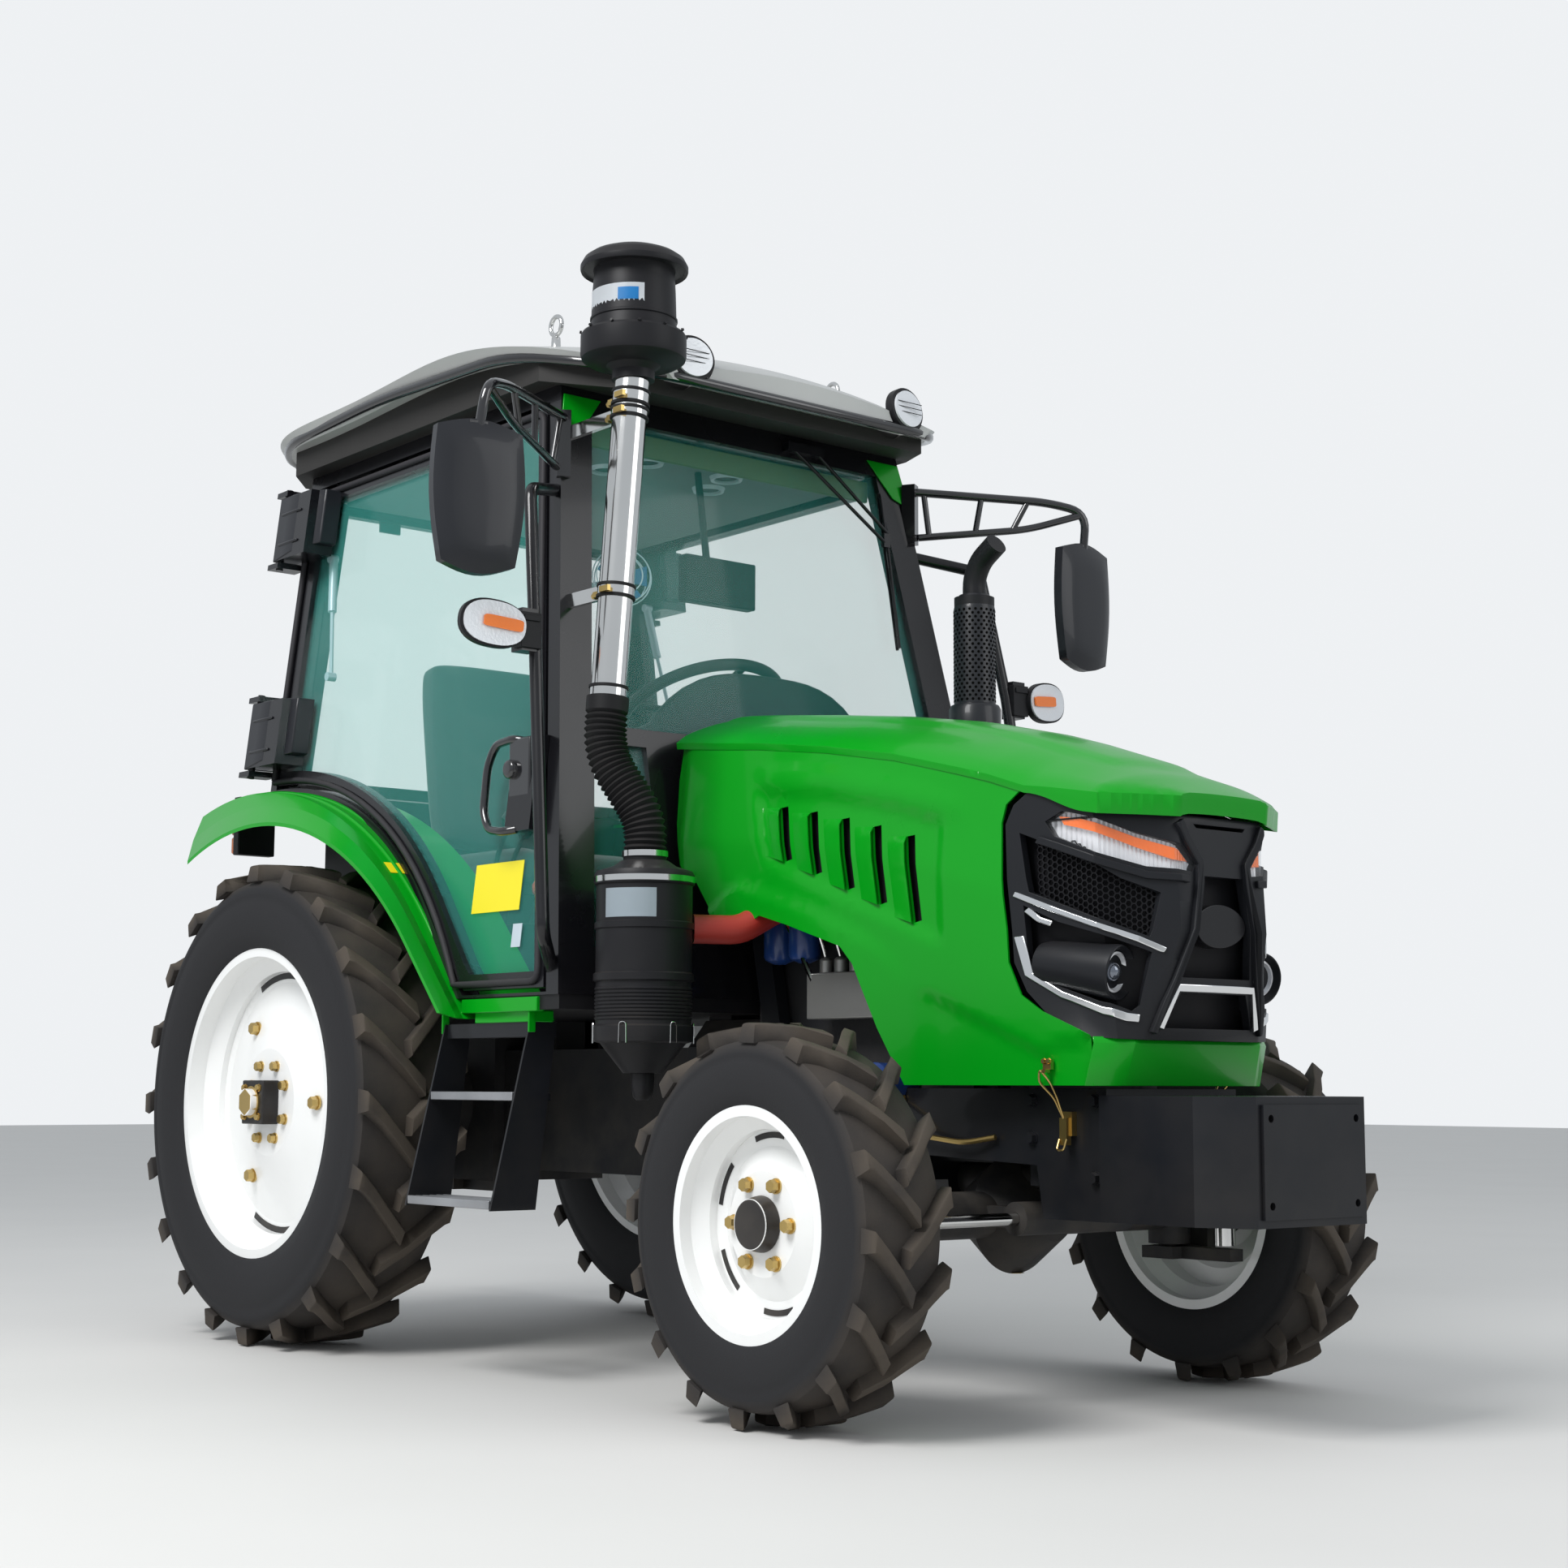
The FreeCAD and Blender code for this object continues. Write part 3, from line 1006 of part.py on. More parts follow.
for z in (1640, 2030):
    reach = Vector(1250, -580 + 53 * (z - 1405) / 695, z)
    pipe_stay = Part.makeBox(reach.x - 900, 12, 30, Vector(900, reach.y + 18, z))
    pipe_tube = pipe_tube.fuse(pipe_stay.cut(cab_outside))
node("intake_pipe", shaped("intake_pipe_shape", sorted(pipe_tube.Solids, key=lambda solid: solid.Volume)[-1]))
cleaner_points = ((0, 2103), (46, 2103), (46, 2118), (100, 2150), (112, 2155), (112, 2200), (96, 2205),
                  (96, 2345), (115, 2352), (115, 2376), (80, 2392), (0, 2396))
precleaner = turned("precleaner_turned", "XZ", "V_Axis", cleaner_points)
move(precleaner, 1250, -524, 0)
node("precleaner", group("precleaner_placed", precleaner))
elbow_path = ((can_x + 10, can_y + 30, 935), (can_x + 75, can_y + 190, 935), (can_x + 90, -230, 995),
              (can_x + 90, -110, 995))
elbow = tube_path(elbow_path, 30).cut(Part.makeCylinder(float(can_radius), 400, Vector(can_x, can_y, 700)))
node("engine_hose", shaped("elbow_tube", elbow))

# Exhaust: a pipe up beside the bonnet to a silencer, its perforated guard and a curved end
ex_x, ex_y = at.exhaust_x, at.exhaust_y
down_path = ((1460, 140, 900), (1460, 330, 900), (ex_x, ex_y, 940), (ex_x, ex_y, 1120))
tail_path = ((ex_x, ex_y, 1740), (ex_x, ex_y, 1795), (ex_x + 22, ex_y, 1835), (ex_x + 75, ex_y, 1868))
stack = Part.makeCylinder(58, 340, Vector(ex_x, ex_y, 1120))
stack = stack.fuse(Part.makeCylinder(float(at.exhaust_radius), 300, Vector(ex_x, ex_y, 1450)))
stack = stack.fuse(tube_path(down_path, 28)).fuse(tube_path(tail_path, 27))
stay = Part.makeBox(400, 30, 12, Vector(900, 440, 1290)).cut(cab_outside)
node("exhaust", shaped("exhaust_stack", stack.fuse(stay)))

# Seat, console and steering column inside the cab
seat_low = box("seat_squab", (-80, 380), (-235, 235), (1090 + at.seat_clear, 1200))
seat_back = plate("seat_backrest", "XZ", ((-80, 1200), (30, 1200), (-40, 1720), (-130, 1720)), (-225, 225))
node("seat", fuse("seat_joined", seat_low, seat_back))
console_side = ((930, at.cab_floor), (1090, at.cab_floor), (1010, 1440), (840, 1400), (880, 1290))
console = plate("console_side", "XZ", console_side, (-230, 230))
column_turn = Rotation(Vector(0, 1, 0), -28)
column_way = column_turn.multVec(Vector(0, 0, 1))
column_foot = Vector(900, 0, 1310)
column_tube = shaped("column_tube", Part.makeCylinder(26, 176, column_foot, column_way))
node("dashboard", fuse("dashboard_joined", console, column_tube))
wheel_ring = doc.addObject("Part::Torus", "wheel_ring")
bind(wheel_ring, "Radius1", at.steer_wheel_radius)
bind(wheel_ring, "Radius2", 14)
spokes = []
for axis, start in (("x", (10 - at.steer_wheel_radius, 0, 0)), ("y", (0, 10 - at.steer_wheel_radius, 0))):
    spokes.append(rod("wheel_spoke_" + axis, axis, start, 2 * at.steer_wheel_radius - 20, 9))
wheel_boss = rod("wheel_boss", "z", (0, 0, -28), 44, 38)
steering_wheel = fuse("steering_wheel_joined", wheel_ring, wheel_boss, *spokes)
wheel_centre = column_foot + column_way * (176 + 28 + 0.3)
steering_wheel.Placement = Placement(wheel_centre, column_turn)
node("steering_wheel", group("steering_wheel_placed", steering_wheel))

# Mirrors, grab bars and lamps on the cab's corners
mirror_arm = tube_path(((940, -490, 2078), (1180, -800, 2055), (1235, -880, 2037), (1218, -885, 1940)), 11)
mirror_strut = tube_path(((940, -490, 1960), (1150, -760, 1990), (1226, -866, 2030)), 9)
mirror_head = Part.makeBox(50, 216, 322, Vector(-25, -108, 0))
mirror_head = mirror_head.makeFillet(26, [edge for edge in mirror_head.Edges
                                          if abs(edge.tangentAt(0).x) > 0.9])
mirror_head.rotate(Vector(), Vector(0, 0, 1), -8)
mirror_head.translate(Vector(1216, -885, 1638))
mirror_right = mirror_arm.fuse(mirror_strut).fuse(mirror_head).cut(cab_outside)
mirror_right = sorted(mirror_right.Solids, key=lambda solid: solid.Volume)[-1]
node("mirrors", shaped("both_mirrors", Part.makeCompound([mirror_right, mirrored(mirror_right)])))
bar_path = ((950, -500, 1925), (1075, -665, 1880), (1140, -690, 1560), (1235, -722, 920), (1150, -640, 850))
bar_shape = tube_path(bar_path, 14).cut(cab_outside).fuse(Part.makeBox(40, 40, 90, Vector(1120, -735, 1510)))
bar_shape = sorted(bar_shape.Solids, key=lambda solid: solid.Volume)[-1]
node("grab_bars", shaped("both_grab_bars", Part.makeCompound([bar_shape, mirrored(bar_shape)])))
turn_lamp = Part.makeBox(36, 150, 100, Vector(1140, -885, 1508))
tail_lamp = Part.makeBox(58, 104, 150, Vector(-404, 145 - at.fender_half, 1200)).cut(mirrored(arch_space))
lamps = []
for lamp in (turn_lamp, work_lamp, tail_lamp):
    lamps += [lamp, mirrored(lamp)]
node("cab_lamps", shaped("cab_lamps_placed", Part.makeCompound(lamps)))


# Finished nodes are checked and written
def finish():
    doc.recompute()
    for item in doc.Objects:
        if "Invalid" in item.State or "Error" in item.State:
            raise RuntimeError("failed: " + item.Name)
    os.makedirs("parts", exist_ok=True)
    for item in NODES:
        if item.Shape.isNull() or not item.Shape.isValid():
            raise RuntimeError("bad shape: " + item.Label)
        item.Shape.exportStep("parts/%s.step" % item.Label)
        room = item.Shape.BoundBox
        print("%-20s %2d solids  x %6.0f %6.0f  y %6.0f %6.0f  z %6.0f %6.0f" % (
            item.Label, len(item.Shape.Solids),
            room.XMin, room.XMax, room.YMin, room.YMax, room.ZMin, room.ZMax))


finish()
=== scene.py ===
"""Looks of the farm tractor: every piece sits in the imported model's own frame, in metres."""
import math

import bmesh
import bpy
from mathutils import Matrix, Vector


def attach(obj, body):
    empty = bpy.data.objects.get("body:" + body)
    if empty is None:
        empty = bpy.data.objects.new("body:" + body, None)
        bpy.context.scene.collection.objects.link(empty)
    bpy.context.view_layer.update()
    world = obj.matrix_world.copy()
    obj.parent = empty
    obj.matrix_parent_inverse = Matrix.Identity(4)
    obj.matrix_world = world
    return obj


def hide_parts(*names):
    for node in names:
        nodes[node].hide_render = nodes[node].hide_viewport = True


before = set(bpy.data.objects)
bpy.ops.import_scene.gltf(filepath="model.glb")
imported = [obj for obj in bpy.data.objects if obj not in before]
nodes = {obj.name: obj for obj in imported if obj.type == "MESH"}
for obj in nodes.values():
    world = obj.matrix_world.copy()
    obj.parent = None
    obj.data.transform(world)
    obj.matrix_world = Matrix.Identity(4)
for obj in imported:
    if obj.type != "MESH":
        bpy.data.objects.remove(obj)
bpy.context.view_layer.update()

# View: from ahead of the tractor's right front wheel, at the height of its bonnet's foot.
# Everything is measured from the middle of the rear axle, on the ground, and moved to the frame at the end.
REAR_AXLE = -0.833
scene = bpy.context.scene
lens = bpy.data.cameras.new("view")
lens.lens, lens.sensor_width, lens.clip_end = 55.73, 36, 200
camera = bpy.data.objects.new("view", lens)
scene.collection.objects.link(camera)
yaw, pitch, roll = math.radians(140.518), math.radians(7.0724), math.radians(0.2062)
ahead = Vector((math.cos(pitch) * math.cos(yaw), math.cos(pitch) * math.sin(yaw), math.sin(pitch)))
turned = ahead.to_track_quat("-Z", "Y").to_matrix().to_4x4() @ Matrix.Rotation(roll, 4, "Z")
camera.matrix_world = Matrix.Translation((5.3314 + REAR_AXLE, -3.4665, 0.6168)) @ turned
scene.camera = camera
scene.view_settings.view_transform = "Standard"

# Studio: a pale floor under a pale sky that lights softly, and two large lamps.
# The key lamp stands high on the tractor's right, so its shadow falls away from the view.


def feed(tree, node, inputs):
    """Gives a node's sockets their values, or links them to the node or socket that feeds them."""
    for name, value in inputs.items():
        if isinstance(value, bpy.types.Node):
            value = value.outputs[0]
        if isinstance(value, bpy.types.NodeSocket):
            tree.links.new(value, node.inputs[name])
        else:
            node.inputs[name].default_value = value


def put(tree, kind, inputs, **settings):
    """A new node with its settings and its sockets fed."""
    node = tree.nodes.new("ShaderNode" + kind)
    for name, value in settings.items():
        setattr(node, name, value)
    feed(tree, node, inputs)
    return node


def ramped(tree, share, low, high, end=1):
    """A colour that goes from low to high with a share."""
    ramp = put(tree, "ValToRGB", {"Fac": share})
    ramp.color_ramp.elements[0].color = low
    ramp.color_ramp.elements[1].color = high
    ramp.color_ramp.elements[1].position = end
    return ramp


def object_place(tree):
    """Where each point is on its object."""
    return put(tree, "TexCoord", {}).outputs["Object"]


def material(name):
    """A new material with its tree and its Principled shader."""
    made = bpy.data.materials.new(name)
    made.use_nodes = True
    return made, made.node_tree, made.node_tree.nodes["Principled BSDF"]


def object_of(name, shape):
    """A new object in the scene with a shape's mesh."""
    data = bpy.data.meshes.new(name)
    shape.to_mesh(data)
    shape.free()
    item = bpy.data.objects.new(name, data)
    scene.collection.objects.link(item)
    return item


shape = bmesh.new()
bmesh.ops.create_grid(shape, x_segments=8, y_segments=8, size=30)
floor = object_of("floor", shape)
made, tree, shader = material("floor")
speckle = put(tree, "TexNoise", {"Vector": object_place(tree), "Scale": 1.5})
pale = ramped(tree, speckle, (0.684, 0.6745, 0.6555, 1), (0.72, 0.71, 0.69, 1))
feed(tree, shader, {"Base Color": pale, "Roughness": 0.7})
floor.data.materials.append(made)

scene.world = bpy.data.worlds.new("sky")
scene.world.use_nodes = True
sky = scene.world.node_tree
shown = sky.nodes["Background"]
shown.inputs["Color"].default_value = (0.86, 0.88, 0.9, 1)
ray = put(sky, "LightPath", {}).outputs
direct = put(sky, "Math", {0: ray["Is Camera Ray"], 1: ray["Is Transmission Ray"]}, operation="MAXIMUM")
lit = put(sky, "Background", {"Color": (0.9, 0.95, 1, 1), "Strength": 0.62})
feed(sky, sky.nodes["World Output"], {"Surface": put(sky, "MixShader", {"Fac": direct, 1: lit, 2: shown})})
for name, place, power, size in (("key_lamp", (1.2, -4.6, 5.4), 330, 2.6), ("fill_lamp", (6.5, 3, 4), 90, 4)):
    lamp = bpy.data.lights.new(name, "AREA")
    lamp.energy, lamp.size = power, size
    stand = bpy.data.objects.new(name, lamp)
    stand.location = place
    stand.rotation_euler = (Vector((0, 0, 1)) - Vector(place)).to_track_quat("-Z", "Y").to_euler()
    scene.collection.objects.link(stand)

# Finishes: every painted, cast or moulded surface has a slow change of tone, a fine grain and some
# dust that settles on what faces up and near the ground. One group makes all of that.
DUST = (0.3, 0.25, 0.19, 1)


def weathered():
    """The group: a plain colour and roughness in, and the same with tone, grain and dust out."""
    made = bpy.data.node_groups.new("tone_grain_dust", "ShaderNodeTree")
    for title, kind, start in (("Colour", "Color", (0.5, 0.5, 0.5, 1)), ("Roughness", "Float", 0.5),
                               ("Tone", "Float", 0.1), ("Dust", "Float", 0.2), ("Grain scale", "Float", 400),
                               ("Grain depth", "Float", 0.1)):
        socket = made.interface.new_socket(name=title, in_out="INPUT", socket_type="NodeSocket" + kind)
        socket.default_value = start
    for title, kind in (("Colour", "Color"), ("Roughness", "Float"), ("Normal", "Vector")):
        made.interface.new_socket(name=title, in_out="OUTPUT", socket_type="NodeSocket" + kind)
    given = made.nodes.new("NodeGroupInput").outputs
    place = object_place(made)

    def sums(operation, *values):
        """A sum of numbers and sockets. What is multiplied and added is held between 0 and 1."""
        held = operation == "MULTIPLY_ADD"
        return put(made, "Math", dict(enumerate(values)), operation=operation, use_clamp=held).outputs[0]

    slow = put(made, "TexNoise", {"Vector": place, "Scale": 4, "Detail": 5})
    fine = put(made, "TexNoise", {"Vector": place, "Scale": given["Grain scale"], "Detail": 3})
    patches = put(made, "TexNoise", {"Vector": place, "Scale": 11, "Detail": 6})
    swing = sums("SUBTRACT", slow, 0.5)
    level = sums("ADD", sums("MULTIPLY", swing, sums("MULTIPLY", given["Tone"], 2)), 1)
    toned = put(made, "VectorMath", {0: given["Colour"], "Scale": level}, operation="SCALE")
    facing = put(made, "SeparateXYZ", {0: put(made, "NewGeometry", {}).outputs["Normal"]}).outputs["Z"]
    height = put(made, "SeparateXYZ", {0: place}).outputs["Z"]
    upward = sums("MULTIPLY", sums("MAXIMUM", facing, 0), 0.5)
    settled = sums("ADD", upward, sums("MULTIPLY_ADD", height, -0.9, 0.85))
    patched = sums("MULTIPLY", settled, sums("MULTIPLY_ADD", patches, 2.4, -0.7))
    dusty = sums("MULTIPLY", patched, given["Dust"])
    mix = put(made, "Mix", {"Factor": dusty, "A": toned, "B": DUST}, data_type="RGBA")
    rough = sums("ADD", given["Roughness"], sums("MULTIPLY", swing, 0.15))
    rough = sums("ADD", rough, sums("MULTIPLY", dusty, 0.4))
    bump = put(made, "Bump", {"Height": fine, "Strength": given["Grain depth"], "Distance": 0.0006})
    out = made.nodes.new("NodeGroupOutput")
    feed(made, out, {"Colour": mix.outputs["Result"], "Roughness": rough, "Normal": bump})
    return made


TONE_GRAIN_DUST = weathered()


def finish(name, colour, rough, tone=0.1, dust=0.2, grain=(400, 0.1), metal=0.0, coat=0.0, sheen=0.0,
           shine=0.5):
    """A finish with tone, grain and dust on a plain colour."""
    made, tree, shader = material(name)
    group = put(tree, "Group", {"Colour": (*colour, 1), "Roughness": rough, "Tone": tone, "Dust": dust,
                                "Grain scale": grain[0], "Grain depth": grain[1]}, node_tree=TONE_GRAIN_DUST)
    feed(tree, shader, {"Base Color": group.outputs["Colour"], "Roughness": group.outputs["Roughness"],
                        "Normal": group.outputs["Normal"], "Metallic": metal, "Specular IOR Level": shine,
                        "Coat Weight": coat, "Coat Roughness": 0.06, "Sheen Weight": sheen})
    return made


def wear(made, *node_names):
    """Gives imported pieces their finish."""
    for name in node_names:
        nodes[name].data.materials.clear()
        nodes[name].data.materials.append(made)


def piece(name, shape, made, body="tractor", stands_for=(), crease=35, sheet=(), edge=0, segments=2,
          angle=40):
    """A finished mesh, moved to the frame and riding on its body. Edges stay sharp above the crease angle.
    It can get a sheet's thickness on one side of its faces, 1 outside or -1 inside, and rounded edges."""
    bmesh.ops.translate(shape, verts=shape.verts, vec=(REAR_AXLE, 0, 0))
    bmesh.ops.recalc_face_normals(shape, faces=shape.faces)
    item = object_of(name, shape)
    if crease:
        item.data.shade_smooth()
        item.data.set_sharp_from_angle(angle=math.radians(crease))
    item.data.materials.append(made)
    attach(item, body)
    if stands_for:
        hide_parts(*stands_for)
    if sheet:
        shell = item.modifiers.new("sheet_thickness", "SOLIDIFY")
        shell.thickness, shell.offset = sheet
    if edge:
        bevel = item.modifiers.new("rounded_edges", "BEVEL")
        bevel.width, bevel.segments, bevel.limit_method = edge, segments, "ANGLE"
        bevel.angle_limit = math.radians(angle)
    return item


# Wheels: lugged farm tyres on white dished rims. The lugs of each side lean forward to the middle,
# start at the shoulder and pass the middle line, and the other side's lugs fall between them.
RUBBER_DARK, RUBBER_BROWN = (0.022, 0.022, 0.024, 1), (0.08, 0.066, 0.053, 1)
SIDES = (("right", -1), ("left", 1))
HALF_TRACK = 0.6
WHEELS = (
    # axle, along, radius over the lugs, half width, bead radius, tread depth, lugs a side, lug width
    ("rear", 0, 0.572, 0.14, 0.356, 0.031, 20, 0.034),
    ("front", 1.851, 0.366, 0.1, 0.203, 0.027, 16, 0.028),
)
# A tyre's outline from its middle to its bead: shares of its half width and of its wall's height
TYRE = ((0.62, 0.0), (0.8, 0.03), (0.9, 0.1), (0.97, 0.3), (1.0, 0.48), (0.985, 0.66), (0.955, 0.74),
        (0.965, 0.76), (0.93, 0.86), (0.86, 0.935), (0.6, 0.975), (0.3, 0.99), (0.0, 1.0))


def spun(shape, profile, centre, steps, axis=(0, 0, 1)):
    """Turns a closed or open profile, given as (along the axis, out from it), once round."""
    centre, axis = Vector(centre), Vector(axis).normalized()
    out = Vector((0, 0, 1)) if abs(axis.z) < 0.9 else Vector((1, 0, 0))
    out = (out - axis * out.dot(axis)).normalized()
    verts = [shape.verts.new(centre + axis * along + out * away) for along, away in profile]
    edges = [shape.edges.new(pair) for pair in zip(verts, verts[1:])]
    bmesh.ops.spin(shape, geom=verts + edges, cent=centre, axis=axis, angle=math.tau, steps=steps,
                   use_merge=True)
    bmesh.ops.remove_doubles(shape, verts=shape.verts, dist=1e-6)


def added(shape, part):
    """Puts a finished part into a shape."""
    joined = bpy.data.meshes.new("part")
    part.to_mesh(joined)
    part.free()
    shape.from_mesh(joined)
    bpy.data.meshes.remove(joined)


def verts_of(grown):
    """The corners among what an operator made."""
    return [item for item in grown["geom"] if isinstance(item, bmesh.types.BMVert)]


def all_of(shape):
    """Everything in a shape."""
    return shape.verts[:] + shape.edges[:] + shape.faces[:]


def tyre_finish(name, centre, bare):
    """Rubber that is dusty brown over the tread and dark on the side walls."""
    made, tree, shader = material(name)
    place = object_place(tree)
    middle = (-centre.x - REAR_AXLE, 0, -centre.z)
    shift = put(tree, "VectorMath", {0: place, 1: (1, 0, 1), 2: middle}, operation="MULTIPLY_ADD")
    reach = put(tree, "VectorMath", {0: shift}, operation="LENGTH").outputs["Value"]
    edge = put(tree, "MapRange", {"Value": reach, "From Min": bare - 0.03, "From Max": bare + 0.02})
    patches = put(tree, "TexNoise", {"Vector": place, "Scale": 9, "Detail": 7})
    spread = put(tree, "MapRange", {"Value": patches, "From Min": 0.3, "From Max": 0.65, "To Min": 0.35})
    share = put(tree, "Math", {0: edge, 1: spread}, operation="MULTIPLY")
    grain = put(tree, "TexNoise", {"Vector": place, "Scale": 260})
    bump = put(tree, "Bump", {"Height": grain, "Strength": 0.25, "Distance": 0.0012})
    feed(tree, shader, {"Base Color": ramped(tree, share, RUBBER_DARK, RUBBER_BROWN, 0.8), "Normal": bump,
                        "Roughness": 0.72, "Specular IOR Level": 0.22})
    return made


def add_lugs(shape, side, centre, radius, half, depth, count, width):
    """One side's lugs: a footprint on a bent path, raised, drawn in at its top and wrapped round the tyre."""
    lean, foot = half * 0.95, depth + 0.012
    # a lug from the shoulder inwards: share of the half width, share of the lean, share of the lug's width
    stations = ((1.0, 0.0, 1.25), (0.86, 0.06, 1.05), (0.62, 0.3, 1.0), (0.3, 0.66, 1.0), (-0.12, 1.12, 1.08))
    lug = bmesh.new()
    bmesh.ops.create_grid(lug, x_segments=len(stations) - 1, y_segments=1, size=1)
    for vert in lug.verts:
        away, forward, share = stations[round((vert.co.x + 1) * (len(stations) - 1) / 2)]
        vert.co = Vector((forward * lean + vert.co.y * width * 0.72 * share, away * half * 0.97, -foot))
    raised = verts_of(bmesh.ops.extrude_face_region(lug, geom=lug.faces[:]))
    pairs = {}
    for vert in raised:
        vert.co.z += foot - 0.1 * depth * (abs(vert.co.y) / half) ** 2
        if abs(vert.co.y) > half * 0.9:
            vert.co.y -= 0.006 * math.copysign(1, vert.co.y)
        pairs.setdefault(round(vert.co.y, 5), []).append(vert)
    for pair in pairs.values():
        middle = sum(vert.co.x for vert in pair) / len(pair)
        for vert in pair:
            vert.co.x = middle + (vert.co.x - middle) * 0.7
    sharp = [edge for edge in lug.edges if edge.is_manifold and edge.calc_face_angle(0) > 0.5]
    bmesh.ops.bevel(lug, geom=sharp, offset=0.0035, segments=2, profile=0.5, affect="EDGES", material=-1)
    for vert in lug.verts:
        angle, away = vert.co.x / radius, radius + vert.co.z
        vert.co = Vector((math.sin(angle) * away, side * vert.co.y, math.cos(angle) * away))
    pitch = math.tau / count
    start = pitch / 4 - 0.147 - 0.43 * lean / radius - (0 if side > 0 else pitch / 2)
    bmesh.ops.rotate(lug, verts=lug.verts, cent=(0, 0, 0), matrix=Matrix.Rotation(start, 3, "Y"))
    bmesh.ops.spin(lug, geom=all_of(lug), cent=(0, 0, 0), axis=(0, 1, 0), angle=math.tau, steps=count,
                   use_merge=True, use_duplicate=True)
    bmesh.ops.translate(lug, verts=lug.verts, vec=centre)
    added(shape, lug)


for axle, x, radius, half, bead, depth, count, width in WHEELS:
    bare = radius - depth
    outer = [(along * half, bead + share * (bare - bead)) for along, share in TYRE]
    profile = [(-along, away) for along, away in outer[:-1]] + outer[::-1]
    for side_name, side in SIDES:
        centre, end = Vector((x, side * HALF_TRACK, radius)), "%s_%s" % (axle, side_name)
        shape = bmesh.new()
        spun(shape, profile + [profile[0]], centre, 120, (0, 1, 0))
        for lug_side in (-1, 1):
            add_lugs(shape, lug_side, centre, radius, half, depth, count, width)
        piece("tyre_%s_lugged" % end, shape, tyre_finish("rubber_" + end, centre, bare),
              "%s_wheel_%s" % (axle, side_name), ["tyre_" + end], crease=38)

# Wheel fasteners: a black axle clamp with its nut and gold bolts at the rear, a black cap and six gold
# bolts in front, and thin black arcs of painted shade on each wheel's face where the openings between disc
# and rim are.
WHITE_PAINT = finish("white_wheel_paint", (0.9, 0.905, 0.895), 0.32, 0.04, 0.08, (500, 0.05), coat=0.4)
GOLD_BOLT = finish("gold_plated_bolt", (0.62, 0.44, 0.16), 0.32, 0.2, 0.05, (900, 0.1), metal=1)
# This hub black also paints the shade of the wheel openings.
HUB_BLACK_AND_OPENING_SHADE = finish("black_hub_paint_and_opening_shade", (0.014, 0.014, 0.016), 0.4, 0.2, 0.2, (500, 0.15), shine=0.3)
FRONT_CAP = ((0.046, 0), (0.046, 0.052), (0.06, 0.05), (0.0665, 0.0475), (0.0765, 0.046), (0.0775, 0.04),
             (0.0775, 0))


def turned_to(centre, way):
    """Turns what stands upright so that it points along a way, and moves it to a place."""
    turn = Vector((0, 0, 1)).rotation_difference(Vector(way)).to_matrix()
    return Matrix.Translation(centre) @ turn.to_4x4()


def hex_bolt(shape, centre, axis, across, height):
    """A hexagon head on its washer."""
    turn = turned_to(centre, axis)
    for wide, taper, tall, count, lift in ((0.66, 1, 0.25, 20, 0), (0.577, 0.93, 0.9, 6, 0.25)):
        place = turn @ Matrix.Translation((0, 0, height * (lift + tall / 2)))
        bmesh.ops.create_cone(shape, cap_ends=True, segments=count, radius1=across * wide,
                              radius2=across * wide * taper, depth=height * tall, matrix=place)


def block(shape, centre, size, turn=None):
    """A plain block, turned about its middle."""
    turned = Matrix.Translation(centre) @ (turn or Matrix.Identity(3)).to_4x4()
    bmesh.ops.create_cube(shape, size=1, matrix=turned @ Matrix.Diagonal((*size, 1)))


def bolt_ring(shape, centre, side, angles, radius, out, across, height):
    """Bolts in a wheel's outer face, at angles from the front."""
    for degrees in angles:
        hex_bolt(shape, round_wheel(centre, side, degrees, radius, out), (0, side, 0), across, height)


def round_wheel(centre, side, degrees, radius, out):
    """A place on a wheel's outer face: an angle from the front, a radius and how far out it is."""
    angle = math.radians(degrees)
    return centre + Vector((radius * math.cos(angle), side * out, radius * math.sin(angle)))


